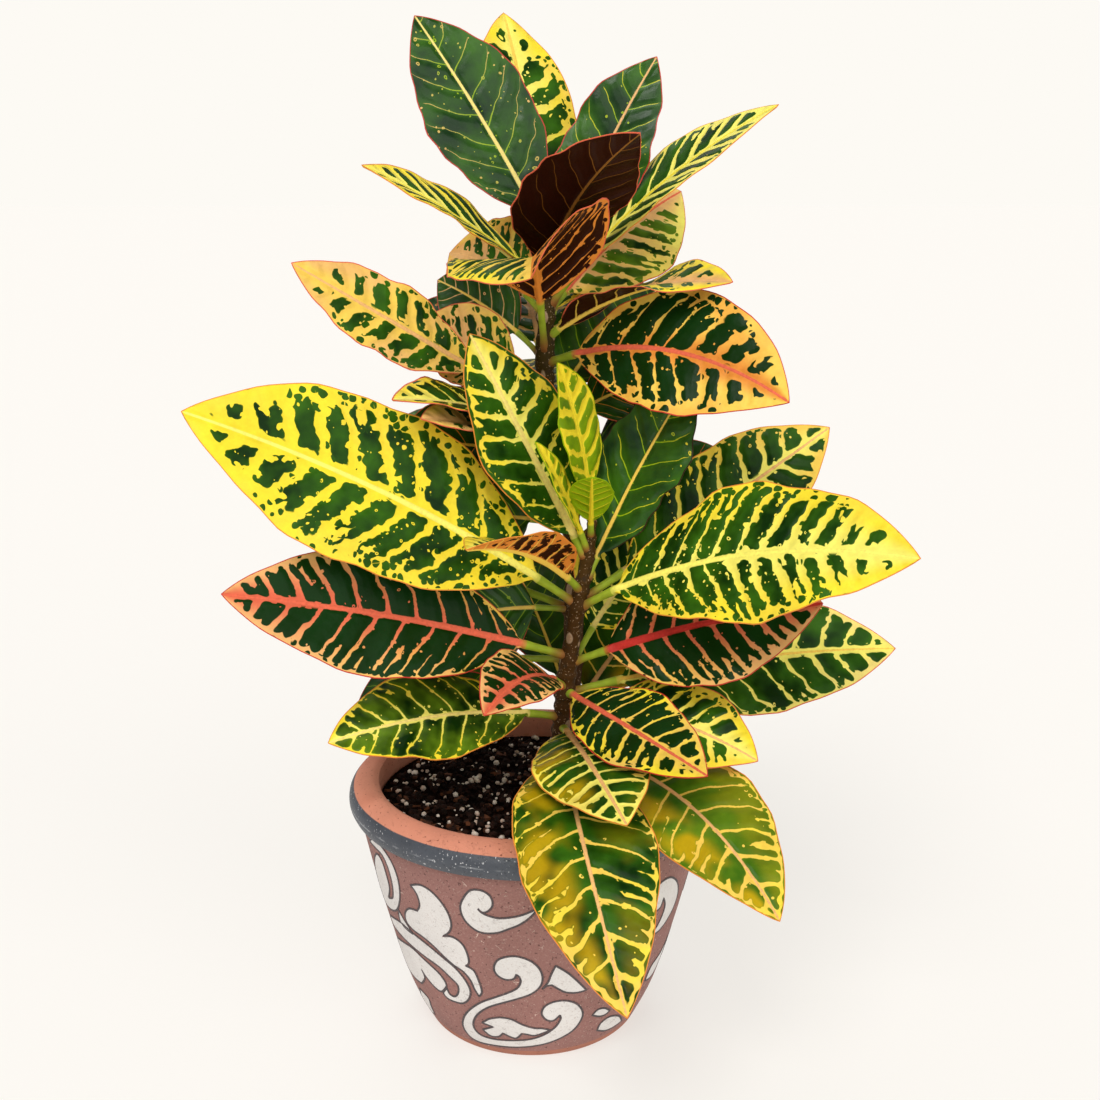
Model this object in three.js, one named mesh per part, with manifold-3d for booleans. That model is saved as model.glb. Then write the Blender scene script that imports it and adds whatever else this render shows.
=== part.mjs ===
// A potted croton: a rolled-rim clay pot filled with soil, and two leafy stems that stand in it.
// Millimetres, +Z up. The origin is the centre of the pot's base, and -Y is the front.
// Each leaf is one closed skin: a ring of points is carried along the leaf's midrib, round in the
// stalk and flat in the blade.
import * as THREE from "three";
import { mergeVertices } from "three/addons/utils/BufferGeometryUtils.js";
import Module from "manifold-3d";

// ---- Driving dimensions ----
const RIM_RADIUS = 100; // widest point of the rolled rim
const POT_HEIGHT = 140;
const FOOT_RADIUS = 58.5;
const POT_FLOOR = 10;
const POT_SIDES = 40;
const DRAIN_RADIUS = 5; // three small drain holes, clear of the base's centre
const DRAIN_CIRCLE = 30;
const SOIL_LEVEL = 126; // mean height of the soil above what the pot stands on
const SOIL_LUMP = 1.6; // height of its lumps
const FIT_GAP = 0.3; // air between pieces that touch
const STEM_SIDES = 8;
const BLADE_THICKNESS = 0.9;
const FULL_GROWN = 150; // length of a full-grown leaf with its stalk
const STALK_RADIUS = 2.1; // stalk of a full-grown leaf
const TIP_RADIUS = 0.5; // a blade's point
const WAVES = 2.3; // waves along each margin of a blade

// ---- Colours ----
const paint = (color, roughness) => new THREE.MeshStandardMaterial({ color, roughness, metalness: 0 });
const CLAY = paint(0x9d6a60, 0.8);
const SOIL = paint(0x2b1a12, 0.95);
const BARK = paint(0x6b5138, 0.85);
const LOOKS = {
  yellow: paint(0xe8d838, 0.4), // mostly yellow, with green islands
  veined: paint(0x3f7a33, 0.4), // green islands in a yellow net
  deep: paint(0x1f5231, 0.4), // deep green with thin veins
  orange: paint(0xd9a04a, 0.4), // green islands on orange
  flame: paint(0x2c4a2d, 0.4), // red ribs on green
  lime: paint(0xa9cf2a, 0.4), // young leaves
  olive: paint(0x6c8a22, 0.4), // old low leaves
  wine: paint(0x4a1f17, 0.45), // leaves that show their undersides
};

// ---- Plan of the plant ----
// Stems: points up the axis, with the radius there.
const STEMS = {
  front: [
    [10, 2, 80, 5.6], [13, 1, 128, 5.4], [16, -3, 165, 4.9], [19, -6, 200, 4.7],
    [24, -10, 235, 4.2], [29, -14, 262, 3.4], [31, -16, 280, 2.2], [32, -17, 290, 1.2],
  ],
  rear: [
    [17, 32, 80, 6], [19, 32, 128, 5.8], [23, 31, 190, 5.5], [24, 29, 255, 5.2],
    [16, 25, 310, 4.8], [7, 23, 350, 4.5], [8, 22, 385, 4.1], [9, 22, 415, 3.2], [10, 23, 432, 1.6],
  ],
};

// Leaves, from the top of each stem down.
// up: height where the stalk leaves the stem. x, y, z: the blade's point.
// stalk, wide: length of the stalk and width of the blade. arch: rise of the midrib above the
// straight line from end to end, and bow: its swing to the leaf's right. roll: turn of the blade
// about that line in degrees, and twist: how much more of it at the point. fold: degrees that
// each half is lifted from the midrib. ripple: height of the waves on the margin.
const COLUMNS = [
  "up", "x", "y", "z", "stalk", "wide", "arch", "bow", "roll", "twist", "fold", "ripple", "look",
];
const LEAVES = {
  rear: [
    [425, -58, 35, 533, 12, 58, 2, 2, -62, 0, 10, 1.5, "deep"],
    [415, -14, 86, 540, 14, 56, 6, 0, 6, 0, 10, 1.5, "yellow"],
    [402, 65, 40, 514, 18, 46, 3, -1, 60, 0, 10, 1.5, "deep"],
    [402, 51, -40, 474, 12, 62, 4, 10, -8, 0, 8, 2, "wine"],
    [390, 123, 8, 489, 20, 50, 9, 0, 24, 0, 12, 1, "yellow"],
    [402, -82, -8, 460, 14, 46, 4, 0, -22, 0, 14, 1, "veined"],
    [366, 0, -80, 410, 24, 84, 27, 2, -4, 48, 22, 2, "orange"],
    [386, 84, 88, 447, 14, 64, 6, 0, 48, 0, 8, 1, "orange"],
    [384, -46, 98, 413, 18, 56, 8, 0, -55, 0, 8, 1, "orange"],
    [374, 98, -28, 405, 6, 46, 10, -4, -25, 60, 14, 1.5, "orange"],
    [360, 122, -60, 351, 16, 66, 16, 0, 60, 0, 8, 2, "orange"],
    [334, -116, -22, 414, 45, 40, 0, 0, -70, 0, 8, 1, "orange"],
    [346, -75, 74, 379, 22, 48, 5, 0, -50, 0, 10, 1, "deep"],
    [363, -50, 50, 401, 18, 44, 4, 0, -60, 0, 10, 1, "deep"],
    [320, -68, -34, 349, 22, 44, 6, 0, -15, 0, 18, 1.5, "veined"],
    [338, -58, 20, 381, 22, 46, 4, 0, -65, 0, 10, 1, "orange"],
    [310, -54, -36, 340, 20, 36, 4, 0, -25, 0, 20, 1, "orange"],
    [370, 34, 118, 440, 20, 60, 8, 0, 0, 0, 8, 1.5, "veined"],
    [354, -8, 135, 404, 22, 62, 8, 0, -10, 0, 8, 1.5, "orange"],
    [336, 76, 112, 392, 16, 64, 8, 0, 30, 0, 8, 1.5, "deep"],
    [324, 81, 22, 349, 17, 56, 8, 0, 40, 0, 12, 1, "wine"],
    [318, -12, 150, 345, 24, 64, 14, 0, 0, 0, 8, 2, "veined"],
    [308, 74, 14, 315, 18, 52, 6, 0, 45, 0, 12, 1, "deep"],
    [304, -95, 92, 305, 24, 62, 16, 0, -20, 0, 8, 2, "deep"],
    [300, -70, 2, 318, 20, 56, 8, 0, -50, 0, 10, 1, "wine"],
    [282, 50, 140, 300, 26, 66, 14, 0, 0, 0, 8, 2, "olive"],
    [262, 112, 52, 304, 24, 58, 6, 0, 30, 0, 10, 1, "wine"],
    [262, -45, 145, 275, 26, 66, 14, 0, 0, 0, 8, 2, "flame"],
    [270, -64, -8, 278, 22, 66, 6, 0, -60, 0, 10, 1, "deep"],
    [244, 115, 95, 240, 26, 62, 14, 0, 20, 0, 8, 2, "veined"],
    [222, -62, 2, 218, 20, 70, 6, 0, -65, 0, 10, 1, "deep"],
    [222, -110, 85, 210, 26, 64, 16, 0, -15, 0, 8, 2, "olive"],
    [166, -24, 124, 246, 14, 62, 8, 0, 0, 0, 8, 2, "deep"],
    [192, -98, 24, 168, 24, 48, 10, 0, -40, 0, 10, 1, "deep"],
    [158, 94, 90, 226, 14, 66, 6, 0, 30, 0, 8, 2, "olive"],
  ],
  front: [
    [276, 29, -62, 316, 9, 22, 4, 0, 0, 0, 10, 0.5, "lime"],
    [284, 13, -34, 367, 12, 37, 4, 0, -75, 0, 10, 1, "lime"],
    [268, 2, -50, 331, 12, 17, 2, 0, -70, 0, 20, 0.5, "lime"],
    [264, -30, -24, 380, 12, 56, 0, 0, -65, 0, 10, 1.5, "veined"],
    [252, 85, -15, 363, 12, 46, 3, 0, 60, 0, 10, 1.5, "deep"],
    [246, -30, -95, 289, 14, 42, 8, 0, 10, 0, 30, 1, "yellow"],
    [238, -167, -50, 346, 24, 86, 8, 0, -65, 0, 8, 2, "yellow"],
    [236, 175, -110, 288, 22, 72, 14, 0, 55, 0, 8, 2, "yellow"],
    [240, 161, 30, 324, 26, 60, -1, 0, 55, 0, 8, 1.5, "veined"],
    [208, -151, -60, 258, 24, 66, 4, 0, -60, 0, 8, 1.5, "flame"],
    [204, 145, -50, 249, 20, 68, 4, 0, 60, 0, 8, 1.5, "flame"],
    [198, 72, 42, 258, 26, 60, 6, 0, 50, 0, 8, 1.5, "veined"],
    [190, -23, -90, 206, 14, 38, 12, 0, -25, 0, 20, 1, "flame"],
    [187, 82, -110, 183, 6, 46, 3, 3, 30, 0, 10, 1.5, "flame"],
    [186, 199, 10, 205, 26, 66, 6, 0, 50, 0, 8, 1.5, "orange"],
    [180, 114, -60, 169, 18, 50, 8, 0, 35, 0, 8, 1.5, "orange"],
    [172, -103, -55, 178, 18, 58, 8, 0, -30, 0, 8, 1.5, "veined"],
    [166, 44, -118, 162, 12, 58, 8, 3, 12, 0, 8, 2, "veined"],
    [150, 117, -120, 113, 22, 66, 22, -3, 15, 0, 8, 2, "olive"],
    [158, 42, -165, 91, 24, 68, 28, 8, 0, 0, 8, 2, "olive"],
  ],
};

// ---- Shapes ----
const wasm = await Module();
wasm.setup();
const radians = THREE.MathUtils.degToRad;
const mix = THREE.MathUtils.lerp;

// Geometry from rings of points with the same count, capped at both ends. Seen from the first
// ring, the points run clockwise. isUnder(j) tells which strips lie on a blade's under face: they
// are split along the other diagonal, so that both faces of the blade crease alike.
function skin(rings, isUnder = () => false) {
  const count = rings[0].length;
  const faces = [];
  for (let i = 0; i < rings.length - 1; i++) {
    for (let j = 0; j < count; j++) {
      const a = i * count + j;
      const b = i * count + ((j + 1) % count);
      if (isUnder(j)) faces.push(a, b, a + count, b, b + count, a + count);
      else faces.push(a, b, b + count, a, b + count, a + count);
    }
  }
  const last = (rings.length - 1) * count;
  for (let j = 1; j < count - 1; j++) {
    faces.push(0, j + 1, j, last, last + j, last + j + 1);
  }
  const geometry = new THREE.BufferGeometry().setFromPoints(rings.flat());
  geometry.setIndex(faces);
  return geometry;
}

function toManifold(geometry) {
  const bare = geometry.clone();
  bare.deleteAttribute("normal");
  bare.deleteAttribute("uv");
  const merged = mergeVertices(bare, 1e-4);
  return new wasm.Manifold(new wasm.Mesh({
    numProp: 3,
    vertProperties: new Float32Array(merged.attributes.position.array),
    triVerts: new Uint32Array(merged.index.array),
  }));
}

function toGeometry(manifold) {
  const mesh = manifold.getMesh();
  const geometry = new THREE.BufferGeometry();
  geometry.setAttribute("position", new THREE.BufferAttribute(mesh.vertProperties, 3));
  geometry.setIndex(new THREE.BufferAttribute(mesh.triVerts, 1));
  return geometry;
}

// A body turned about Z from points (radius, height) that run up the outside and down the inside.
function turned(profile, sides) {
  const geometry = new THREE.LatheGeometry(profile.map(([r, z]) => new THREE.Vector2(r, z)), sides);
  return geometry.rotateX(Math.PI / 2);
}

// ---- Pot ----
const INNER_WALL = [[83, 134], [84.6, 118], [79.5, 88], [71.5, 56], [62, 24], [55, POT_FLOOR]];

function makePot() {
  const profile = [
    [0, 0], [FOOT_RADIUS, 0], [61, 4], [70, 24], [79.5, 56], [87.5, 88], [94, 118], [94.7, 122.5],
    [98.4, 123.6], [RIM_RADIUS, 127.5], [RIM_RADIUS - 0.4, 132], [97.2, 135.6], [93, 138.8],
    [87.5, POT_HEIGHT], [84, 138], ...INNER_WALL, [0, POT_FLOOR],
  ];
  let pot = toManifold(turned(profile, POT_SIDES));
  for (let i = 0; i < 3; i++) {
    const angle = (i * 2 * Math.PI) / 3;
    const drain = new THREE.CylinderGeometry(DRAIN_RADIUS, DRAIN_RADIUS, 3 * POT_FLOOR, 12);
    drain.rotateX(Math.PI / 2);
    drain.translate(DRAIN_CIRCLE * Math.cos(angle), DRAIN_CIRCLE * Math.sin(angle), 0);
    pot = pot.subtract(toManifold(drain));
  }
  return toGeometry(pot);
}

// ---- Stems ----
function stemAt(name, height) {
  const points = STEMS[name];
  let i = 1;
  while (i < points.length - 1 && points[i][2] < height) i++;
  const [low, high] = [points[i - 1], points[i]];
  const t = (height - low[2]) / (high[2] - low[2]);
  return low.map((value, k) => mix(value, high[k], t));
}

function makeStem(name, grown = 0) {
  const rings = STEMS[name].map(([x, y, z, radius], row) => {
    const end = row === 0 ? -grown : row === STEMS[name].length - 1 ? grown : 0;
    return Array.from({ length: STEM_SIDES }, (_, k) => {
      const angle = (k * 2 * Math.PI) / STEM_SIDES;
      const reach = radius + grown / Math.cos(Math.PI / STEM_SIDES);
      return new THREE.Vector3(x + reach * Math.cos(angle), y + reach * Math.sin(angle), z + end);
    });
  });
  return skin(rings);
}

// ---- Soil ----
function makeSoil() {
  const wall = INNER_WALL.map(([r, z]) => [r - FIT_GAP, z]);
  const top = [[0, SOIL_LEVEL], [20, SOIL_LEVEL], [40, SOIL_LEVEL], [60, SOIL_LEVEL], [74, SOIL_LEVEL]];
  const side = wall.slice(1).reverse();
  const bottom = POT_FLOOR + FIT_GAP;
  side[0][1] = bottom;
  const geometry = turned([[0, bottom], ...side, [83.4, SOIL_LEVEL], ...top.reverse()], POT_SIDES);
  const points = geometry.attributes.position;
  for (let i = 0; i < points.count; i++) {
    const [x, y, z] = [points.getX(i), points.getY(i), points.getZ(i)];
    if (z < SOIL_LEVEL - 1 || Math.hypot(x, y) > 80) continue;
    points.setZ(i, z + SOIL_LUMP * Math.sin(x * 0.21 + y * 0.05) * Math.cos(y * 0.17 - x * 0.09));
  }
  let soil = toManifold(geometry);
  for (const name of Object.keys(STEMS)) soil = soil.subtract(toManifold(makeStem(name, FIT_GAP)));
  return toGeometry(soil);
}

// ---- Leaves ----
// The midrib is a curve from the stem to the blade's point. At t it gives the centre there, the
// direction to the blade's right edge and the direction out of its upper face.
function midrib(leaf) {
  const [x, y, , radius] = stemAt(leaf.stem, leaf.up);
  const tip = new THREE.Vector3(leaf.x, leaf.y, leaf.z);
  const heading = new THREE.Vector3(leaf.x - x, leaf.y - y, 0).normalize();
  const root = new THREE.Vector3(x, y, leaf.up).addScaledVector(heading, radius / 2);
  const across = new THREE.Vector3(heading.y, -heading.x, 0);
  const chord = tip.clone().sub(root);
  const lift = new THREE.Vector3().crossVectors(across, chord).normalize();
  const middle = root.clone().add(tip).multiplyScalar(0.5);
  middle.addScaledVector(lift, 2 * leaf.arch).addScaledVector(across, 2 * leaf.bow);
  const curve = new THREE.QuadraticBezierCurve3(root, middle, tip);
  const start = leaf.stalk / chord.length();
  const frameAt = (t) => {
    const along = curve.getTangent(t);
    const up = new THREE.Vector3().crossVectors(across, along).normalize();
    const right = new THREE.Vector3().crossVectors(along, up);
    const blade = Math.max(0, (t - start) / (1 - start));
    const turn = radians(leaf.roll + leaf.twist * blade) * Math.min(1, t / start);
    up.applyAxisAngle(along, turn);
    right.applyAxisAngle(along, turn);
    return { centre: curve.getPoint(t), right, up };
  };
  return { start, length: chord.length(), frameAt };
}

// Half the blade's width at v, from 0 at its foot to 1 at its point.
const halfWidth = (leaf, v) => (leaf.wide / 2) * (4 * v * (1 - v)) ** 0.9;

// Height of the upper face over the midrib at v, and u from -1 at the left edge to 1 at the right.
function rise(leaf, u, v) {
  const folded = halfWidth(leaf, v) * Math.tan(radians(leaf.fold)) * (Math.abs(u) - 0.35 * u * u);
  const phase = leaf.number + (u > 0 ? 2 : 0);
  return folded + leaf.ripple * u * u * Math.sin(Math.PI * v) * Math.sin(2 * Math.PI * WAVES * v + phase);
}

const ACROSS = [-1, -0.5, 0, 0.5, 1];
const isUnder = (j) => j >= ACROSS.length && j < 2 * ACROSS.length - 1;

function makeLeaf(leaf) {
  const { start, length, frameAt } = midrib(leaf);
  const stalkRadius = STALK_RADIUS * Math.min(1, Math.sqrt(length / FULL_GROWN));
  const count = THREE.MathUtils.clamp(Math.round((length - leaf.stalk) / 14), 6, 9);
  const rings = [];
  const place = ({ centre, right, up }, across, above) =>
    centre.clone().addScaledVector(right, across).addScaledVector(up, above);
  for (const t of [0, start]) {
    const frame = frameAt(t);
    rings.push(Array.from({ length: 10 }, (_, k) => {
      const angle = radians(162 - 36 * k);
      return place(frame, stalkRadius * Math.cos(angle), stalkRadius * Math.sin(angle));
    }));
  }
  for (let i = 1; i <= count; i++) {
    const v = mix(i / count, (1 - Math.cos((Math.PI * i) / count)) / 2, 0.5);
    const frame = frameAt(mix(start, 1, v));
    const half = Math.max(TIP_RADIUS, halfWidth(leaf, v));
    const rib = mix(stalkRadius, 0.2, v ** 0.7);
    const top = ACROSS.map((u) => place(frame, half * u, rise(leaf, u, v) + (u === 0 ? rib / 3 : 0)));
    const under = ACROSS.map((u) =>
      place(frame, half * u, rise(leaf, u, v) - BLADE_THICKNESS - (u === 0 ? rib : 0)));
    rings.push([...top, ...under.reverse()]);
  }
  return toGeometry(toManifold(skin(rings, isUnder)).subtract(toManifold(makeStem(leaf.stem, FIT_GAP))));
}

// ---- Assembly ----
const croton = new THREE.Group();
function add(name, geometry, material) {
  const mesh = new THREE.Mesh(geometry, material);
  mesh.name = name;
  croton.add(mesh);
}

add("pot", makePot(), CLAY);
add("soil", makeSoil(), SOIL);
for (const stem of Object.keys(STEMS)) {
  add(`stem_${stem}`, makeStem(stem), BARK);
  LEAVES[stem].forEach((row, index) => {
    const leaf = Object.fromEntries(COLUMNS.map((column, k) => [column, row[k]]));
    Object.assign(leaf, { stem, number: index + 1 });
    const number = String(leaf.number).padStart(2, "0");
    add(`leaf_${stem}_${number}`, makeLeaf(leaf), LOOKS[leaf.look]);
  });
}

export default croton;
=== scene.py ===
"""A potted croton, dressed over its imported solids: blades with veins and islands of green, stems with
leaf scars, potting soil with perlite, and a clay pot with painted scrolls. Sizes are in millimetres
where a name or a comment says so, and in metres otherwise."""

import math
import random
from types import SimpleNamespace

import bmesh
import bpy
from bpy.props import FloatProperty, FloatVectorProperty, IntProperty, PointerProperty
from mathutils import Matrix, Vector
from mathutils import noise as fields


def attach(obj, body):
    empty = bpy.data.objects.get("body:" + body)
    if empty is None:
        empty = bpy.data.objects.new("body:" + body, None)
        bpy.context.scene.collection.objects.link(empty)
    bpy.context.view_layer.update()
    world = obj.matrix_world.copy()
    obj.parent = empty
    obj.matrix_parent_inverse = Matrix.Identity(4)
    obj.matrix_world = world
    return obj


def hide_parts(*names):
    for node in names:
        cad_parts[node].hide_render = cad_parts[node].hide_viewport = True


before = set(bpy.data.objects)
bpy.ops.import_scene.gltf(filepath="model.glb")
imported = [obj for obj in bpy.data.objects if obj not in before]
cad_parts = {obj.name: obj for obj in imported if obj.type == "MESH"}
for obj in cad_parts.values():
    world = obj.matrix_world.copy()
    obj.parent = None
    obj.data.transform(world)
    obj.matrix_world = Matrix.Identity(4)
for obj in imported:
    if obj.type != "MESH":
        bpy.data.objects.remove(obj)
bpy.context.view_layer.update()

bl_info = {
    "name": "Potted croton",
    "version": (1, 0, 0),
    "blender": (4, 5, 0),
    "location": "View3D > Sidebar > Croton",
    "description": "Makes a potted croton over its packed solids",
    "category": "Add Mesh",
}

MM = 0.001


def read_word(word):
    """The number that this word stands for, or the word itself."""
    return float(word) if word.lstrip("-")[0].isdigit() else word


def read_table(text):
    """The rows of a table of words and numbers."""
    return [[read_word(word) for word in line.split()] for line in text.strip().splitlines()]


# ---- The plan of the plant, in millimetres and degrees ----
# Stems: points up the axis, with the radius there.
STEMS = {
    "front": [
        (10, 2, 80, 5.6), (13, 1, 128, 5.4), (16, -3, 165, 4.9), (19, -6, 200, 4.7),
        (24, -10, 235, 4.2), (29, -14, 262, 3.4), (31, -16, 280, 2.2), (32, -17, 290, 1.2),
    ],
    "rear": [
        (17, 32, 80, 6), (19, 32, 128, 5.8), (23, 31, 190, 5.5), (24, 29, 255, 5.2), (16, 25, 310, 4.8),
        (7, 23, 350, 4.5), (8, 22, 385, 4.1), (9, 22, 415, 3.2), (10, 23, 432, 1.6),
    ],
}
# Leaves, from the top of each stem down. up: height where the stalk leaves the stem. x, y, z: the
# blade's point. arch and bow: how far the midrib rises and swings to the leaf's right. roll and
# twist: turn of the blade, and how much more of it at the point. fold: lift of each half. ripple:
# height of the waves on the margin. slot: the record's material slot, after "leaf_".
COLUMNS = "up x y z stalk wide arch bow roll twist fold ripple slot".split()
LEAVES = {
    "rear": read_table("""
        425 -58 35 533 12 58 2 2 -62 0 10 1.5 deep
        415 -14 86 540 14 56 6 0 6 0 10 1.5 yellow
        402 65 40 514 18 46 3 -1 60 0 10 1.5 deep
        402 51 -40 474 12 62 4 10 -8 0 8 2 wine
        390 123 8 489 20 50 9 0 24 0 12 1 yellow
        402 -82 -8 460 14 46 4 0 -22 0 14 1 veined
        366 0 -80 410 24 84 27 2 -4 48 22 2 orange
        386 84 88 447 14 64 6 0 48 0 8 1 orange
        384 -46 98 413 18 56 8 0 -55 0 8 1 orange
        374 98 -28 405 6 46 10 -4 -25 60 14 1.5 orange
        360 122 -60 351 16 66 16 0 60 0 8 2 orange
        334 -116 -22 414 45 40 0 0 -70 0 8 1 orange
        346 -75 74 379 22 48 5 0 -50 0 10 1 deep
        363 -50 50 401 18 44 4 0 -60 0 10 1 deep
        320 -68 -34 349 22 44 6 0 -15 0 18 1.5 veined
        338 -58 20 381 22 46 4 0 -65 0 10 1 orange
        310 -54 -36 340 20 36 4 0 -25 0 20 1 orange
        370 34 118 440 20 60 8 0 0 0 8 1.5 veined
        354 -8 135 404 22 62 8 0 -10 0 8 1.5 orange
        336 76 112 392 16 64 8 0 30 0 8 1.5 deep
        324 81 22 349 17 56 8 0 40 0 12 1 wine
        318 -12 150 345 24 64 14 0 0 0 8 2 veined
        308 74 14 315 18 52 6 0 45 0 12 1 deep
        304 -95 92 305 24 62 16 0 -20 0 8 2 deep
        300 -70 2 318 20 56 8 0 -50 0 10 1 wine
        282 50 140 300 26 66 14 0 0 0 8 2 olive
        262 112 52 304 24 58 6 0 30 0 10 1 wine
        262 -45 145 275 26 66 14 0 0 0 8 2 flame
        270 -64 -8 278 22 66 6 0 -60 0 10 1 deep
        244 115 95 240 26 62 14 0 20 0 8 2 veined
        222 -62 2 218 20 70 6 0 -65 0 10 1 deep
        222 -110 85 210 26 64 16 0 -15 0 8 2 olive
        166 -24 124 246 14 62 8 0 0 0 8 2 deep
        192 -98 24 168 24 48 10 0 -40 0 10 1 deep
        158 94 90 226 14 66 6 0 30 0 8 2 olive
    """),
    "front": read_table("""
        276 29 -62 316 9 22 4 0 0 0 10 0.5 lime
        284 13 -34 367 12 37 4 0 -75 0 10 1 lime
        268 2 -50 331 12 17 2 0 -70 0 20 0.5 lime
        264 -30 -24 380 12 56 0 0 -65 0 10 1.5 veined
        252 85 -15 363 12 46 3 0 60 0 10 1.5 deep
        246 -30 -95 289 14 42 8 0 10 0 30 1 yellow
        238 -167 -50 346 24 86 8 0 -65 0 8 2 yellow
        236 175 -110 288 22 72 14 0 55 0 8 2 yellow
        240 161 30 324 26 60 -1 0 55 0 8 1.5 veined
        208 -151 -60 258 24 66 4 0 -60 0 8 1.5 flame
        204 145 -50 249 20 68 4 0 60 0 8 1.5 flame
        198 72 42 258 26 60 6 0 50 0 8 1.5 veined
        190 -23 -90 206 14 38 12 0 -25 0 20 1 flame
        187 82 -110 183 6 46 3 3 30 0 10 1.5 flame
        186 199 10 205 26 66 6 0 50 0 8 1.5 orange
        180 114 -60 169 18 50 8 0 35 0 8 1.5 orange
        172 -103 -55 178 18 58 8 0 -30 0 8 1.5 veined
        166 44 -118 162 12 58 8 3 12 0 8 2 veined
        150 117 -120 113 22 66 22 -3 15 0 8 2 olive
        158 42 -165 91 24 68 28 8 0 0 8 2 olive
    """),
}
# A leaf of FULL_GROWN millimetres or more has a stalk of the full radius. STEM_SWELL and BLADE_SWELL
# are how much thicker, as a share, the stalk is at its ends, within SWELL_REACH millimetres.
FULL_GROWN = 150.0
STALK_RADIUS = 2.1
STEM_SWELL = 0.5
BLADE_SWELL = 0.18
SWELL_REACH = 4
# The radius of the rib at the blade's point, and how much thinner the blade is at its margin.
RIB_POINT = 0.2
MARGIN_THINNING = 0.55
# Waves along a margin.
WAVES = 2.3

# The pot's outline, as (radius, height): its foot, outside, rim, inside and floor.
POT_FOOT = [(0, 0), (54, 0), (58.5, 0), (59.4, 0.9)]
POT_WALL = [(61, 4), (70, 24), (79.5, 56), (87.5, 88), (94, 118), (94.7, 122.5)]
POT_RIM = [(98.4, 123.6), (100, 127.5), (99.6, 132), (97.2, 135.6), (93, 138.8), (87.5, 140), (84, 138)]
POT_INSIDE = [(83, 134), (84.6, 118), (79.5, 88), (71.5, 56), (62, 24), (55, 10)]
POT_FLOOR = [(50, 10), (0, 10)]
# The soil: its height, the gap round it, how far it sinks at the wall, and the radius of its rings.
SOIL_TOP = 126.0
SOIL_GAP = 0.3
SOIL_SINK = 1.2
SOIL_REACH = 81.5
SOIL_RINGS = 44
# Vertices round a stem, and millimetres from one row of them to the next.
STEM_SIDES = 28
STEM_STEP = 1.6
# The number of drain holes and, in metres, the circle that they stand on, their radius, and the
# heights between which the slate band lies.
DRAINS = 3
DRAIN_CIRCLE = 0.03
DRAIN_RADIUS = 0.005
BAND = (0.1222, 0.1355)
# The camera's, in millimetres.
LENS = 46
SENSOR = 36
# Lamps: name, strength, width of the sun in degrees, and where it shines.
LAMPS = (
    ("key_light", 1.42, 30, (0.35, 0.75, -1.0)),
    ("fill_light", 1.05, 60, (-0.6, 0.95, -0.52)),
    ("back_light", 0.5, 50, (0.1, -0.8, -0.9)),
)


def shade(red, green, blue):
    """A linear colour from the usual 0 to 255 values."""
    return tuple(
        c / 3294.6 if c <= 10 else ((c / 255 + 0.055) / 1.055) ** 2.4 for c in (red, green, blue)
    )


def colour(name, description, red, green, blue):
    """A colour that the user can change."""
    return FloatVectorProperty(
        name=name, description=description, subtype="COLOR", size=3, min=0.0, max=1.0,
        default=shade(red, green, blue),
    )


def length(name, description, default, low, high):
    """A length that the user can change, in metres."""
    return FloatProperty(
        name=name, description=description, default=default, min=low, max=high,
        subtype="DISTANCE", unit="LENGTH",
    )


def portion(name, description, default, high):
    """A share that the user can change, from 0 up."""
    return FloatProperty(
        name=name, description=description, default=default, min=0.0, max=high, subtype="FACTOR"
    )


def slant(name, description, degrees):
    """An angle that the user can change."""
    return FloatProperty(
        name=name, description=description, default=math.radians(degrees), min=-1.5, max=1.5,
        subtype="ANGLE", unit="ROTATION",
    )


def how_many(name, description, default, low, high):
    """A number of things that the user can change."""
    return IntProperty(name=name, description=description, default=default, min=low, max=high)


class CrotonLeafSettings(bpy.types.PropertyGroup):
    """Sizes of the leaves."""

    thickness: length("Blade thickness", "Thickness of a blade near its midrib", 0.0008, 0.0004, 0.001)
    waves: portion("Waves", "Height of the waves on the margins, against the solids' own", 1.0, 1.2)
    relief: length("Relief", "Depth of the quilting between the veins", 0.0009, 0.0, 0.002)
    rings: how_many("Rings", "Rings of vertices along a blade", 40, 12, 80)


class CrotonColours(bpy.types.PropertyGroup):
    """The colours that the leaves are mixed from."""

    yellow: colour("Yellow", "Clear yellow of the brightest leaves", 251, 226, 52)
    lemon: colour("Lemon", "Paler yellow", 254, 243, 112)
    gold: colour("Gold", "Warm yellow", 250, 208, 88)
    cream: colour("Cream", "Pale midribs", 252, 228, 128)
    orange: colour("Orange", "Orange flush", 232, 142, 56)
    peach: colour("Peach", "Pinkish orange of older leaves", 240, 184, 116)
    coral: colour("Coral", "Pinkish red ribs", 226, 104, 74)
    red: colour("Red", "Red ribs and margins", 200, 54, 46)
    pine: colour("Pine", "Darkest green", 14, 46, 4)
    spruce: colour("Spruce", "Dark green of the plain leaves", 18, 54, 16)
    fern: colour("Fern", "Middle green", 54, 102, 14)
    moss: colour("Moss", "Light green", 100, 134, 22)
    lime: colour("Lime", "Green of young leaves", 150, 182, 14)
    amber: colour("Amber", "Golden glow in old leaves", 206, 168, 16)
    wine: colour("Wine", "Dark undersides", 46, 15, 3)
    rust: colour("Rust", "Veins of dark undersides", 142, 92, 34)
    pale: colour("Pale green", "Undersides of green leaves", 128, 142, 60)
    stalk: colour("Stalk", "Leaf stalks", 158, 178, 50)
    foot: colour("Stalk foot", "Stalks where they leave the stem", 150, 96, 50)


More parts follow.
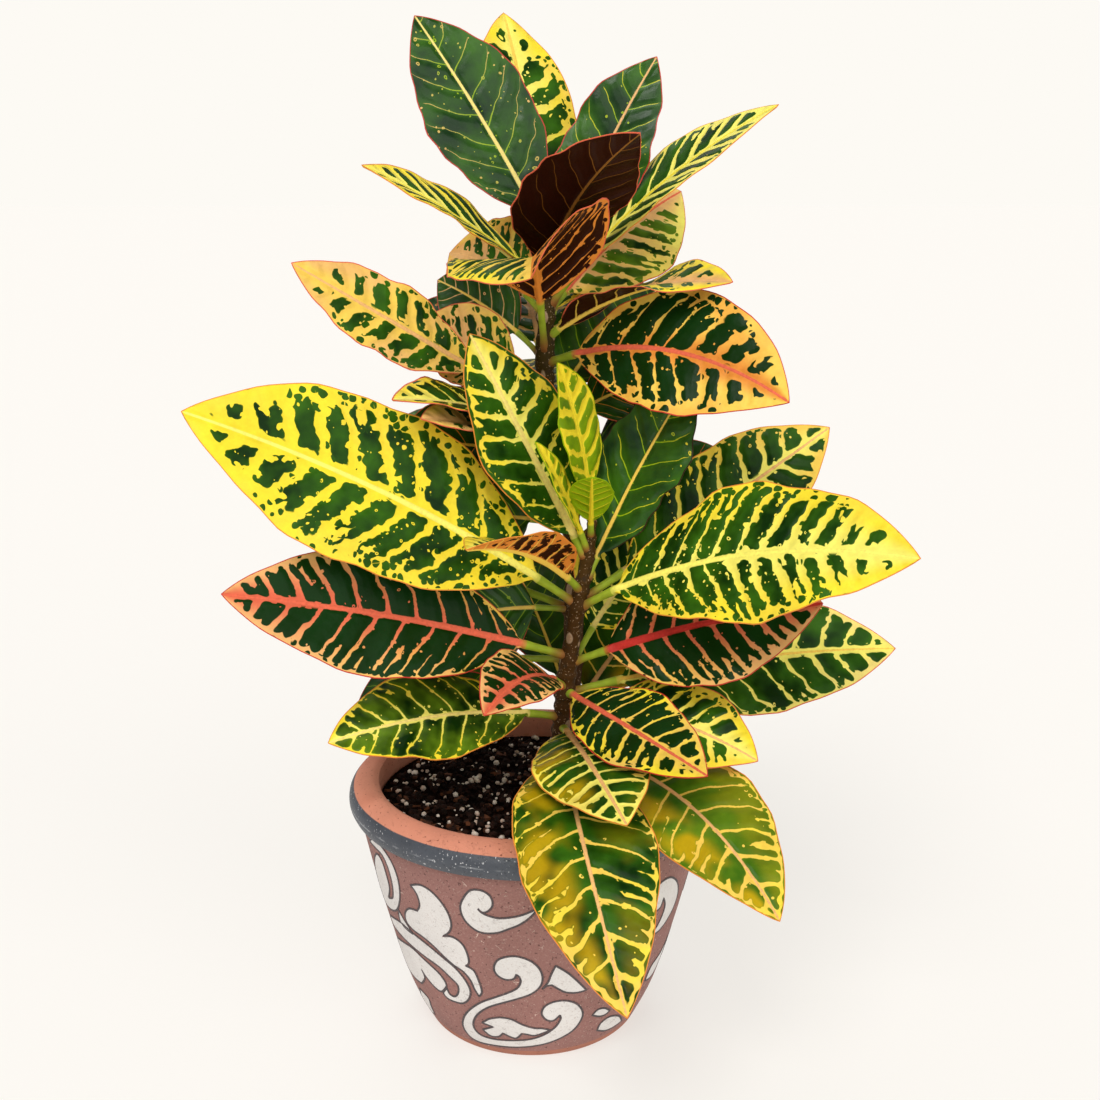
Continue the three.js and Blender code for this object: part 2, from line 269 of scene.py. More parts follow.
class CrotonStemSettings(bpy.types.PropertyGroup):
    """Sizes and colours of the stems."""

    node_height: length("Node height", "How far a node stands out of the stem", 0.0009, 0.0, 0.002)
    bark: colour("Bark", "Old bark", 74, 46, 13)
    green: colour("Green bark", "Young bark near the top", 64, 50, 12)
    scar: colour("Leaf scar", "Pale scars and specks", 190, 160, 128)


class CrotonPotSettings(bpy.types.PropertyGroup):
    """Sizes and colours of the pot."""

    sides: how_many("Sides", "Faces round the pot", 144, 48, 240)
    paint: length("Paint", "Thickness of the painted layer", 0.00012, 0.00005, 0.0005)
    outline: length("Outline", "Width of the dark line round a scroll", 0.0011, 0.0003, 0.002)
    lip_colour: colour("Lip", "Bare clay of the lip and the foot", 222, 144, 116)
    band_colour: colour("Band", "Slate band under the lip", 72, 76, 84)
    body_colour: colour("Body", "Washed clay of the body", 152, 107, 99)
    scroll_colour: colour("Scrolls", "Painted scrolls", 230, 225, 221)
    outline_colour: colour("Outlines", "Lines round the scrolls", 74, 66, 68)


class CrotonSoilSettings(bpy.types.PropertyGroup):
    """Sizes and colours of the soil."""

    crumbs: how_many("Crumbs", "Crumbs of peat", 1500, 0, 3000)
    grains: how_many("Perlite", "Grains of perlite", 420, 0, 900)
    chips: how_many("Chips", "Chips of bark", 150, 0, 400)
    peat: colour("Peat", "Dark soil", 20, 7, 2)
    chip_colour: colour("Bark chip", "Chips of bark", 96, 54, 30)
    perlite: colour("Perlite", "Pale grains", 236, 222, 208)


class CrotonStageSettings(bpy.types.PropertyGroup):
    """The floor, the light and the camera."""

    floor_colour: colour("Floor", "Plain pale floor", 246, 243, 238)
    sky_colour: colour("Background", "Plain pale background", 253, 250, 244)
    floor_glow: portion("Floor glow", "Light of the floor's own, which keeps shadows on it soft", 0.65, 1.0)
    camera_height: length("Camera height", "Height of the camera", 0.451, 0.1, 2.0)
    camera_distance: length("Camera distance", "From the camera to the pot's axis", 0.718, 0.3, 4.0)
    pitch: slant("Pitch", "How far the camera looks down", 14.6)
    yaw: slant("Yaw", "How far the camera looks to its right", 0.78)


class CrotonSettings(bpy.types.PropertyGroup):
    """All that can be changed."""

    leaf: PointerProperty(type=CrotonLeafSettings)
    colours: PointerProperty(type=CrotonColours)
    stem: PointerProperty(type=CrotonStemSettings)
    pot: PointerProperty(type=CrotonPotSettings)
    soil: PointerProperty(type=CrotonSoilSettings)
    stage: PointerProperty(type=CrotonStageSettings)


# ---- Small helpers ----
def mix(a, b, t):
    """From a to b as t goes from 0 to 1."""
    return a + (b - a) * t


def smooth(low, high, value):
    """0 at low, 1 at high, and smooth between them."""
    t = min(1.0, max(0.0, (value - low) / (high - low)))
    return t * t * (3 - 2 * t)


def row_at(rows, column, value):
    """What a table holds where this column has this value, between its rows or beyond their ends."""
    i = 1
    while i < len(rows) - 1 and rows[i][column] < value:
        i += 1
    low, high = rows[i - 1], rows[i]
    t = (value - low[column]) / (high[column] - low[column])
    return [mix(a, b, t) for a, b in zip(low, high)]


def stretch(start, end, leaving, arriving, steps):
    """Points on a smooth curve from start to just before end, with its directions at both."""
    for k in range(steps):
        t = k / steps
        yield (
            start * (2 * t**3 - 3 * t**2 + 1) + leaving * (t**3 - 2 * t**2 + t)
            + end * (3 * t**2 - 2 * t**3) + arriving * (t**3 - t**2)
        )


def curve_through(points, steps):
    """Points on a smooth curve through these (radius, height), with steps of them to a stretch."""
    spots = [Vector(point) for point in points]
    padded = [spots[0], *spots, spots[-1]]
    leans = [(after - before) / 2 for before, after in zip(padded, padded[2:])]
    made = []
    for row in zip(spots, spots[1:], leans, leans[1:]):
        made.extend(stretch(*row, steps))
    return [tuple(spot) for spot in (*made, spots[-1])]


WALL_CURVE = curve_through(POT_WALL, 5)


def add_object(grid, name):
    """An object of this bmesh, which is freed."""
    mesh = bpy.data.meshes.new(name)
    grid.to_mesh(mesh)
    grid.free()
    made = bpy.data.objects.new(name, mesh)
    bpy.context.scene.collection.objects.link(made)
    return made


def finish_piece(grid, name, material, slot, replaced=()):
    """Makes an object of this bmesh with this material, hangs it under the root body and hides the solids it
    replaces.
    """
    piece = add_object(grid, name)
    piece.data.materials.append(material)
    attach(piece, "root")
    if replaced:
        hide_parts(*replaced)


def spun(outline, steps):
    """A bmesh of this outline, of (radius, height) in millimetres, turned round the upright axis."""
    grid = bmesh.new()
    verts = [grid.verts.new((radius * MM, 0, height * MM)) for radius, height in outline]
    edges = [grid.edges.new(pair) for pair in zip(verts, verts[1:])]
    bmesh.ops.spin(
        grid, geom=verts + edges, cent=(0, 0, 0), axis=(0, 0, 1), dvec=(0, 0, 0),
        angle=2 * math.pi, steps=steps, use_merge=True, use_duplicate=False,
    )
    bmesh.ops.remove_doubles(grid, verts=grid.verts, dist=1e-6)
    bmesh.ops.recalc_face_normals(grid, faces=grid.faces)
    return grid


def wrapped_grid(around, along):
    """A grid to bend into a tube, and {vertex: (column, row)}. Its last column meets its first."""
    grid = bmesh.new()
    bmesh.ops.create_grid(grid, x_segments=around, y_segments=along, size=0.5)
    places = {
        vert: (round((vert.co.x + 0.5) * around), round((vert.co.y + 0.5) * along))
        for vert in grid.verts
    }
    return grid, places


def close_tube(grid):
    """Merges the seam of a bent grid, closes its ends and turns its faces outwards."""
    bmesh.ops.remove_doubles(grid, verts=grid.verts, dist=1e-7)
    bmesh.ops.holes_fill(grid, edges=[edge for edge in grid.edges if edge.is_boundary], sides=0)
    bmesh.ops.recalc_face_normals(grid, faces=grid.faces)


def shade_smooth(grid, sharp_over=None):
    """Smooth faces, with a sharp edge where two of them turn by more than sharp_over degrees."""
    for face in grid.faces:
        face.smooth = True
    if sharp_over is not None:
        limit = math.radians(sharp_over)
        for edge in grid.edges:
            edge.smooth = len(edge.link_faces) < 2 or edge.calc_face_angle(0.0) < limit


# ---- Nodes ----
class Value:
    """A node's output. What is reckoned with it becomes more nodes of the same tree."""

    def __init__(self, wiring, socket):
        self.wiring = wiring
        self.socket = socket

    def __add__(self, other):
        return self.wiring.math("ADD", self, other)

    def __sub__(self, other):
        return self.wiring.math("SUBTRACT", self, other)

    def __rsub__(self, other):
        return self.wiring.math("SUBTRACT", other, self)

    def __mul__(self, other):
        return self.wiring.math("MULTIPLY", self, other)

    def __truediv__(self, other):
        return self.wiring.math("DIVIDE", self, other)

    def __abs__(self):
        return self.wiring.math("ABSOLUTE", self)

    def ramp(self, low, high):
        """0 at low, 1 at high, and smooth between them."""
        inputs = {"Value": self, "From Min": low, "From Max": high}
        return self.wiring.node("MapRange", inputs, interpolation_type="SMOOTHSTEP")[0]


class Wiring:
    """Adds nodes to a tree."""

    def __init__(self, tree):
        self.tree = tree

    def set(self, node, inputs):
        """Fills a node's inputs, each with a Value to link, a number or a colour."""
        for key, value in inputs.items():
            socket = node.inputs[key]
            if isinstance(value, Value):
                self.tree.links.new(value.socket, socket)
            elif socket.type == "RGBA":
                socket.default_value = (*value, 1.0)
            else:
                socket.default_value = value

    def node(self, kind, inputs=(), **settings):
        """A new node's outputs, by number and by name."""
        made = self.tree.nodes.new("ShaderNode" + kind)
        for name, value in settings.items():
            setattr(made, name, value)
        self.set(made, dict(inputs))
        return {
            key: Value(self, socket)
            for number, socket in enumerate(made.outputs) for key in (number, socket.name)
        }

    def math(self, operation, *values):
        return self.node("Math", enumerate(values), operation=operation)[0]

    def most(self, value, *others):
        """The largest of these."""
        for other in others:
            value = self.math("MAXIMUM", value, other)
        return value

    def held(self, value):
        """This value, kept from 0 to 1."""
        return self.math("MINIMUM", self.math("MAXIMUM", value, 0.0), 1.0)

    def lerp(self, amount, a, b):
        return self.node("Mix", {0: amount, 2: a, 3: b}, data_type="FLOAT")[0]

    def tint(self, tone, *layers):
        """This colour, turned to another by each layer of (amount, colour)."""
        for amount, other in layers:
            tone = self.node("Mix", {0: amount, 6: tone, 7: other}, data_type="RGBA")[2]
        return tone

    def brighten(self, tone, factor):
        return self.node("VectorMath", {0: tone, 3: factor}, operation="SCALE")[0]

    def shift(self, place, offset):
        return self.node("VectorMath", {0: place, 1: offset}, operation="ADD")[0]

    def noise(self, place, scale, detail=1.0, distortion=0.0):
        inputs = {"Vector": place, "Scale": scale, "Detail": detail, "Distortion": distortion}
        return self.node("TexNoise", inputs)[0]

    def cells(self, place, scale, dimensions="2D"):
        """How far a point is from its cell's middle, and three random numbers for the cell."""
        inputs = {"Vector": place, "Scale": scale}
        made = self.node("TexVoronoi", inputs, voronoi_dimensions=dimensions)
        return made[0], self.parts(made[1], "Color")

    def parts(self, value, kind="XYZ"):
        """The three numbers of a vector or a colour."""
        made = self.node("Separate" + kind, {0: value})
        return made[0], made[1], made[2]

    def group(self, tree, inputs):
        """The outputs of a group, by their names in small letters."""
        made = self.tree.nodes.new("ShaderNodeGroup")
        made.node_tree = tree
        self.set(made, inputs)
        return by_name(self, made.outputs)


def by_name(wiring, sockets):
    """Values whose names are the sockets' own, in small letters."""
    named = [socket for socket in sockets if socket.name]
    return SimpleNamespace(**{
        socket.name.lower().replace(" ", "_"): Value(wiring, socket) for socket in named
    })


def new_group(name, inputs, outputs):
    """A shader node group with these inputs and outputs, of {name: kind}. Returns its wiring, the
    values of its inputs and a function that sets an output."""
    tree = bpy.data.node_groups.new(name, "ShaderNodeTree")
    for side, sockets in (("INPUT", inputs), ("OUTPUT", outputs)):
        for label, kind in sockets.items():
            tree.interface.new_socket(name=label, in_out=side, socket_type="NodeSocket" + kind)
    taken = tree.nodes.new("NodeGroupInput")
    given = tree.nodes.new("NodeGroupOutput")
    wiring = Wiring(tree)

    def give(label, value):
        wiring.set(given, {label: value})

    return wiring, by_name(wiring, taken.outputs), give


def blade_group():
    """A croton leaf's colours. Map is the leaf's UV map: 0 to 1 across the upper face and 2 to 3
    across the lower one, and up from 0 at the blade's foot to 1 at its point. The stalk runs below 0.
    Length, Width, Inner, Outer, Band, the covers and the widths are in millimetres. Gap is a share of
    the way from a side vein to the middle of an island."""
    name = "Croton_blade"
    if name in bpy.data.node_groups:
        return bpy.data.node_groups[name]
    kinds = {label: "Color" if isinstance(value, str) else "Float" for label, value in LOOKS["deep"].items()}
    inputs = {
        "Map": "Vector", "Place": "Vector", "Length": "Float", "Width": "Float", "Seed": "Float",
        "Stalk": "Color", "Stalk foot": "Color", **kinds,
    }
    outputs = {"Colour": "Color", "Roughness": "Float", "Height": "Float"}
    w, leaf, give = new_group(name, inputs, outputs)

    # Where a point lies: u across, v along, and how far from the rib, the margin and the side vein.
    across, along, _ = w.parts(leaf.map)
    under = w.math("GREATER_THAN", across, 1.5)
    u = (across - under * 2) * 2 - 1
    out = abs(u)
    right = w.math("GREATER_THAN", u, 0)
    v = w.held(along)
    spread = w.math("POWER", w.math("MAXIMUM", v * 4 * (1 - v), 0.0001), 0.9)
    half = leaf.width * 0.5 * spread
    place = w.shift(leaf.place, w.node("CombineXYZ", {0: leaf.seed, 1: leaf.seed})[0])
    broad = w.noise(place, 45) - 0.5
    bend = w.noise(place, 110) - 0.5
    lumps = w.noise(place, 250, 0) - 0.5
    fine = w.noise(place, 650) - 0.5
    flat = w.node("CombineXYZ", {
        0: u * half + (leaf.seed * 37 + lumps * 2),
        1: v * leaf.length + bend * 4,
    })[0]
    climb = v - leaf.lean * spread * (out + out * out * 0.5)
    wander = broad * 1.2 + bend * out * 1.1
    count = leaf.veins * climb + leaf.wander * wander + (right * 0.4 + leaf.seed)
    between = 1 - abs(w.math("FRACT", count) * 2 - 1)
    pitch = leaf.length * 0.42 / leaf.veins
    from_vein = between * pitch
    from_rib = out * half
    from_margin = (1 - out) * half

    # Islands of green between the side veins. Near the margin a vein forks and splits the island.
    cell = w.math("FLOOR", count) + right * 31.7
    chance = w.parts(w.node("TexWhiteNoise", {"W": cell}, noise_dimensions="1D")[1], "Color")
    cover = w.lerp(v.ramp(0.1, 0.95), leaf.cover_foot, leaf.cover_point)
    cover = cover + (chance[0] - 0.5 + broad * 2.2) * leaf.uneven
    fork = leaf.fork + (chance[1] - 0.5) * 0.5
    opening = w.math("MINIMUM", (out - fork) * 14, leaf.gap * (pitch * 0.6) + 0.4)
    clear = from_vein - leaf.gap * pitch
    for other, softness in (
        ((1 - between) * pitch - opening, 0.25),
        (from_rib - leaf.inner * (chance[1] * 0.7 + 0.65), 0.55),
        (from_margin - leaf.outer * (chance[2] * 0.9 + 0.55), 0.7),
    ):
        clear = w.math("SMOOTH_MIN", clear, other, pitch * softness)
    pebbles = w.cells(flat, 0.19)[0]
    bays = w.noise(w.shift(place, (7, 1, 5)), 170).ramp(0.6, 0.68)
    edge = lumps * 1.2 + (0.42 - pebbles) * 2.2 - bays * 2.5
    clear = clear + cover + edge * leaf.ragged
    island = clear.ramp(-0.15, 0.2)

    # Specks of green round the islands, and dots of the field's colour on them.
    away, pick = w.cells(flat, 0.2)
    size = pick[1] * 0.28 + 0.22
    blob = (away + lumps * 0.55).ramp(size, size - 0.05)
    fringe = from_margin.ramp(leaf.outer + 3.5, leaf.outer) * from_margin.ramp(0.5, 1.3)
    likely = leaf.specks * w.most(fringe, clear.ramp(-4.5, -1.5) * 0.25)
    chosen = w.math("LESS_THAN", pick[0], likely)
    specks = blob * chosen * (from_rib.ramp(0.8, 2.4) * w.math("LESS_THAN", v, 0.78))
    away, pick = w.cells(flat, 0.33)
    size = pick[1] * pick[1] * 0.24 + 0.1
    ring = away.ramp(0.14, 0.1) * pick[1].ramp(0.85, 0.9)
    dot = away.ramp(size, size - 0.06) - ring
    dot = dot * w.math("LESS_THAN", pick[0], leaf.dots * 0.24) * island
    band = (from_margin + lumps * 3).ramp(leaf.band, leaf.band - 0.5)
    green = w.held(w.most(island, specks, band) - dot)

    # The upper face: green, the field between, the side veins and the rib.
    # Random mottling of the green, and a painted highlight: the green is lighter near the side veins, where
    # the quilted blade catches the light.
    mottle_and_quilt_highlight = broad * 2.4 + lumps * 0.5 + 0.4 + from_vein.ramp(pitch * 0.6, 0) * 0.3
    warm = w.noise(w.shift(place, (4, 2, 1)), 48).ramp(0.4, 0.62) * w.lerp(right, 0.25, 1)
    leafage = w.tint(
        leaf.dark, (w.held(mottle_and_quilt_highlight), leaf.light),
        (warm * out.ramp(0.1, 0.5) * leaf.glow, leaf.glow_colour),
        (clear.ramp(0.9, 0.1) * 0.4, leaf.light),
    )
    blush = w.noise(w.shift(place, (1, 6, 3)), 40).ramp(0.4, 0.62)
    field = w.tint(
        leaf.field_foot, ((v + broad * 0.6).ramp(0.15, 0.9), leaf.field_point),
        (blush * leaf.flush, leaf.flush_colour), (out.ramp(leaf.vein_reach, 0.04), leaf.vein),
    )
    field = w.brighten(field, lumps * 0.16 + 1)
    edge = leaf.vein_width * (0.55 - out * 0.28 + fine * 0.5)
    vein = from_vein.ramp(edge + 0.18, edge - 0.12) * (out + bend * 0.6).ramp(0.95, 0.8)
    edge = leaf.rib_width * 0.5 * (1.1 - v * 0.8)
    rib = (from_rib + fine * 0.5).ramp(edge + 0.3, edge - 0.15)
    core = (from_rib / edge).ramp(0.25, 1)
    rib_tone = w.brighten(leaf.rib, fine * 0.3 + 1.05 - core * 0.1)
    top = w.tint(field, (green, leafage), (vein * (1 - v.ramp(0.3, 0) * 0.3), field), (rib, rib_tone))
    top = w.brighten(top, broad * 0.24 + fine * 0.14 + 1)

    # The lower face, with its raised veins, and then what both faces share.
    low = w.tint(
        leaf.under_field, (green, leaf.under_dark), (vein * 0.8, leaf.under_vein), (rib, leaf.under_vein)
    )
    rim = from_margin.ramp(leaf.margin_width + 0.2, leaf.margin_width - 0.15) * v.ramp(0.02, 0.12)
    stalk = w.tint(leaf.stalk, (along.ramp(-0.45, -0.95), leaf.stalk_foot))
    stalk = w.brighten(stalk, lumps * 0.5 + 1)
    give("Colour", w.tint(top, (under, low), (rim, leaf.margin), (along.ramp(0.03, -0.02), stalk)))
    give("Roughness", w.lerp(under, 0.36, 0.55) + lumps * 0.2 + (1 - green) * 0.08)
    quilt = from_vein.ramp(0, pitch * 0.75) * from_rib.ramp(0.3, 3) * (1 - out.ramp(0.7, 1))
    quilt = w.lerp(under, quilt, quilt * -1.2)
    give("Height", quilt * 0.8 + (lumps * 0.2 + fine * 0.08))
    return w.tree


def wear(wiring, place):
    """Wear of old clay and paint: short scratches, pits, pale specks, fine grain and soft clouds."""
    name = "Clay_wear"
    if name not in bpy.data.node_groups:
        labels = ("Scratches", "Pits", "Specks", "Grain", "Cloud")
        w, given, give = new_group(name, {"Place": "Vector"}, dict.fromkeys(labels, "Float"))
        line = abs(w.noise(given.place, 210, 1.5, 1.2) - 0.5)
        patches = w.noise(w.shift(given.place, (2, 0, 1)), 260).ramp(0.56, 0.62)
        give("Scratches", line.ramp(0.014, 0.004) * patches)
        give("Pits", w.noise(w.shift(given.place, (5, 2, 0)), 620).ramp(0.68, 0.74))
        give("Specks", w.noise(w.shift(given.place, (0, 3, 4)), 760).ramp(0.68, 0.73))
        give("Grain", w.noise(given.place, 900, 2))
        give("Cloud", w.noise(given.place, 34, 4))
    return wiring.group(bpy.data.node_groups[name], {"Place": place})


def new_material(name):
    """An empty node material, its wiring and the Object coordinates."""
    material = bpy.data.materials.new(name)
    material.use_nodes = True
    wiring = Wiring(material.node_tree)
    return material, wiring, wiring.node("TexCoord")["Object"]


def finish_material(material, wiring, tone, rough, height, relief, gloss=0.5):
    """Gives a material's shader its colour, roughness, height of relief in metres and gloss."""
    normal = wiring.node("Bump", {"Height": height, "Distance": relief, "Strength": 1.0})[0]
    wiring.set(material.node_tree.nodes["Principled BSDF"], {
        "Base Color": tone, "Roughness": rough, "Normal": normal, "Specular IOR Level": gloss,
    })
    return material


# ---- Pot ----
def wall_radius(height):
    """Radius of the pot's outside at this height, in millimetres."""
    return row_at(WALL_CURVE, 1, height)[0]


def clay_material(settings):
    """Bare clay at the lip and the foot, painted shade on the foot, a slate band with a painted highlight,
    and a washed body with scratches.
    """
    material, w, place = new_material("washed_clay")
    worn = wear(w, place)
    x, y, z = w.parts(place)
    radius = w.math("SQRT", x * x + y * y)
    wavy = z + (worn.cloud - 0.5) * 0.0006
    body = w.tint(
        w.brighten(settings.body_colour, worn.cloud * 0.52 + 0.72),
        (worn.grain.ramp(0.55, 0.8) * 0.5, shade(196, 160, 150)),
        (worn.grain.ramp(0.42, 0.25) * 0.4, shade(112, 70, 62)),
        (worn.scratches * 0.85, shade(222, 190, 176)),
        (worn.pits * 0.7, shade(88, 52, 46)),
    )
    lip = w.tint(
        w.brighten(settings.lip_colour, worn.cloud * 0.42 + 0.78),
        (worn.grain.ramp(0.55, 0.85) * 0.35, shade(236, 168, 140)),
        (worn.cloud.ramp(0.5, 0.68) * 0.3, shade(178, 98, 72)),
        (worn.pits * 0.6, shade(138, 66, 44)),
    )
    # Painted shade: the bare clay gets darker towards the bottom of the foot, near the floor.
    lip = w.brighten(lip, 1 - z.ramp(0.02, 0.004) * 0.42)
    # Painted highlight: a pale broken line along the middle of the slate band, where its rolled bulge
    # catches the light.
    painted_band_highlight = abs(wavy - 0.1292).ramp(0.0006, 0.0002) * w.noise(place, 90, 2).ramp(0.42, 0.6)
    band = w.tint(
        w.brighten(settings.band_colour, worn.cloud * 0.8 + 0.62),
        (worn.specks * 0.75, shade(206, 206, 208)), (painted_band_highlight * 0.55, shade(170, 172, 176)),
    )
    low, high = BAND
    in_band = wavy.ramp(low, low + 0.0004) * wavy.ramp(high, high - 0.0004)
    in_band = in_band * radius.ramp(0.0905, 0.0915)
    inside = (radius - z * 0.25).ramp(0.0575, 0.0555)
    bare = w.most(wavy.ramp(high - 0.0004, high), wavy.ramp(0.0046, 0.0039), inside)
    height = worn.grain * 0.5 + worn.cloud * 0.6 - (worn.pits + worn.scratches * 0.4)
    return finish_material(
        material, w, w.tint(body, (bare, lip), (in_band, band)),
        w.lerp(in_band, 0.72, 0.42) + worn.grain * 0.2, height, 0.0004,
    )


def paint_material(name, tone, worn_tone):
    """Matt paint on clay, thin in places."""
    material, w, place = new_material(name)
    worn = wear(w, place)
    base = w.tint(
        w.brighten(tone, worn.cloud * 0.24 + 0.86), (worn.grain.ramp(0.5, 0.3) * 0.25, worn_tone),
        (worn.scratches * 0.5, worn_tone), (worn.pits * 0.5, worn_tone),
    )
    return finish_material(
        material, w, base, worn.grain * 0.25 + 0.55, worn.grain - worn.scratches, 0.0002
    )


class CROTON_OT_pot(bpy.types.Operator):
    """Spin the pot and cut its drain holes"""

    bl_idname = "croton.pot"
    bl_label = "Pot"

    def execute(self, context):
        settings = context.scene.croton.pot
        bends = [*WALL_CURVE, *curve_through(POT_RIM, 4), *curve_through(POT_INSIDE, 3)]
        outline = [*POT_FOOT, *bends, *POT_FLOOR]
        whole = add_object(spun(outline, settings.sides), "pot_body")
        drains = bmesh.new()
        for turn in range(DRAINS):
            angle = turn * 2 * math.pi / DRAINS
            spot = Vector((DRAIN_CIRCLE * math.cos(angle), DRAIN_CIRCLE * math.sin(angle), 0.005))
            bmesh.ops.create_cone(
                drains, cap_ends=True, segments=32, radius1=DRAIN_RADIUS, radius2=DRAIN_RADIUS,
                depth=0.02, matrix=Matrix.Translation(spot),
            )
        tool = add_object(drains, "pot_drains")
        cut = whole.modifiers.new("drains", "BOOLEAN")
        cut.object = tool
        cut.operation = "DIFFERENCE"
        cut.solver = "EXACT"
        graph = context.evaluated_depsgraph_get()
        grid = bmesh.new()
        grid.from_mesh(bpy.data.meshes.new_from_object(whole.evaluated_get(graph)))
        for thing in (whole, tool):
            bpy.data.objects.remove(thing)
        shade_smooth(grid, 32)
        finish_piece(grid, "clay_pot", clay_material(settings), "clay", ["pot"])
        return {"FINISHED"}


# ---- Painted scrolls ----
# Outlines of the painted shapes on the pot's wall: for each point the degrees round from the front
# and the height in millimetres. A star marks a sharp corner.
WIDE_MOTIF = {
    "large_scroll": """
        -6 62*, -7 59, -10 58, -13 60.5, -14 65, -12.5 70.5, -9 73.5, -5 74, -0.5 71, 2.5 65.5, 3.5 59,
        2.5 53.5, -0.5 49, -5.5 45.5, -12 41.5, -18 37, -23 31, -26.5 24, -27.5 17.5, -25 13, -19 12,
        -10 13, -1 15, 5 18.5, 9 23, 11 27.5, 11.5 30.5, 11 32.5*, 8.5 29, 5.5 30, 3.5 34.5, 4.5 39.5,
        8 42.5, 13 42.5, 18 38.5, 21 31.5, 20.5 25, 17.5 18.5, 11.5 13.5, 4 10, -7 7.5, -17.5 6.5,
        -27.5 6, -32.5 8.5, -34 15.5, -31.5 24, -27 32, -21 39.5, -14.5 45, -9.5 49, -6 52.5, -4.5 57,
        -5 60.5
    """,
    "small_scroll": """
        -17.5 102.5*, -16 100.5, -14 102, -12.5 106, -13 111, -15.5 114, -19 113.5, -21.5 109,
        -23.5 102, -23 95, -20.5 90, -17 87.5, -12 88.5, -8 91.5, -3.5 95.5, 0 101, 2 106.5*, 1 104.5,
        -3 101, -7 99, -11 98, -14.5 99, -16.5 100.5
    """,
    "half_leaf": """
        -43 105*, -38.5 108, -34.5 107, -31 102.5, -28.5 95.5, -28 88.5, -29.5 83, -32.5 79*,
        -28.5 80.5, -25 77.5, -23.5 71.5, -23.5 65.5, -25 63*, -22 61, -20.5 54, -20 47, -21.5 43.5*,
        -23 48, -24 53.5, -26.5 58.5, -30 61, -34 65, -38 69.5, -42.5 72.5, -48 74, -51 77, -50.5 82.5,
        -47 88, -42.5 89.5*, -40.5 94, -40.5 99.5, -41.5 103
    """,
    "long_stem": """
        -69 67.5*, -56.5 72.5, -48.5 71, -41.5 68.5, -35.5 64.5, -30 59.5, -26.5 53, -25 46, -26.5 39.5,
        -30 35, -34.5 34, -38 34.5, -39.5 37.5, -36.5 42*, -36 38.5, -33.5 38, -31 42, -30.5 47.5,
        -33.5 51.5, -38 56, -45 58.5, -53.5 60.5, -62 61.5, -68.5 62
    """,
    "lobed_leaf": """
        -71 52*, -55 58.5, -46.5 56, -39.5 51.5, -36.8 47, -36.5 43.5*, -40.5 37.5, -44.5 38.5,
        -48.5 42.5, -50.5 46*, -50 40.5, -55 33.5*, -64.5 32, -72 34, -73 44
    """,
    "sliver": "-55 81.5*, -53 77.5, -50.5 73.5, -49 70.5*, -53.5 71, -56.5 74",
    "low_sliver": "-61 25.5*, -54 24, -56 15.5, -57.5 9.5*, -66.5 8, -66.5 16",
    "loop": """
        -67 115*, -60.5 121, -54.5 119, -50.5 112.5, -49.5 102.5, -51.5 91, -56.5 80.5, -63.5 75.5,
        -71 74.5, -74 82.5, -70 97.5, -62.5 110.5, -58.5 109.5, -57.5 101.5, -58 92.5, -62 84*, -57 88,
        -54.5 97.5, -54.5 107.5, -56.5 114, -61 115
    """,
    "resting_leaf": """
        -19 28*, -14 30.5, -9 30, -4.5 26.5, 0.5 24, 4 23.5, 7.5 22*, 4.5 20, 0.5 18, -2.5 19, -5 19.5*,
        -7.5 15.5, -10 16, -13.5 18.5*, -16 15, -20 14.5, -23 18.5*, -17.5 22.5*, -22.5 24*
    """,
    "bud": """
        3.5 52*, 5.5 56.5, 6.5 61.5, 8 67.5*, 12.5 62, 16.5 55.5, 21 47.5*, 17 47, 12.5 48.5, 9.5 51.5,
        7 54.5*, 5 54
    """,
}
NARROW_MOTIF = {
    "hook": """
        50.5 91*, 50 86, 47.5 85, 44.5 88.5, 43 93, 44 100, 47 103.5, 52.5 102.5, 59 94.5, 63 84.5,
        62.5 76.5, 58.5 71, 53.5 68, 48 68.5*, 51 72.5, 53 78.5, 53 85
    """,
    "drop": "70 52*, 66 46, 58.5 43, 56.5 38.5, 56 33.5*, 61 31.5, 66 33, 70 40",
    "foot_leaf": "31.5 13*, 32 18.5, 36.5 21, 43.5 17, 49 9.5*, 43 8.5, 37 9.5",
    "petal": "26 27.5*, 28 30.5, 31.5 30, 35 26.5*, 33 24.5, 29.5 25",
}
# Where each motif stands, in degrees round the pot.
PLACES = ((WIDE_MOTIF, (0, 150, 261)), (NARROW_MOTIF, (0,)))
FLAT = 80.0  # radius at which the wall is laid flat to draw on it


def smooth_loop(outline, steps):
    """Points on a closed curve through these, on the flat drawing, in millimetres."""
    points = outline.split(",")
    pairs = [point.replace("*", " ").split() for point in points]
    spots = [Vector((math.radians(float(x)) * FLAT, float(y))) for x, y in pairs]
    around = zip(points, spots[-1:] + spots, spots[1:] + spots[:1])
    leans = [Vector((0, 0)) if "*" in point else (after - before) / 2 for point, before, after in around]
    made = []
    for row in zip(spots, spots[1:] + spots[:1], leans, leans[1:] + leans[:1]):
        made.extend(stretch(*row, steps))
    return made


def lay_on_wall(grid, turn, lift):
    """Bends a flat drawing round the pot, lift millimetres over its wall, and gives it a back."""
    for vert in grid.verts:
        radius = (wall_radius(vert.co.y) + lift) * MM
        angle = vert.co.x / FLAT + math.radians(turn)
        vert.co = (radius * math.sin(angle), -radius * math.cos(angle), vert.co.y * MM)
    made = bmesh.ops.extrude_face_region(grid, geom=grid.faces[:])
    for vert in made["geom"]:
        if isinstance(vert, bmesh.types.BMVert):
            vert.co -= Vector((vert.co.x, vert.co.y, 0)).normalized() * (lift + 0.35) * MM
    bmesh.ops.recalc_face_normals(grid, faces=grid.faces)
    return grid


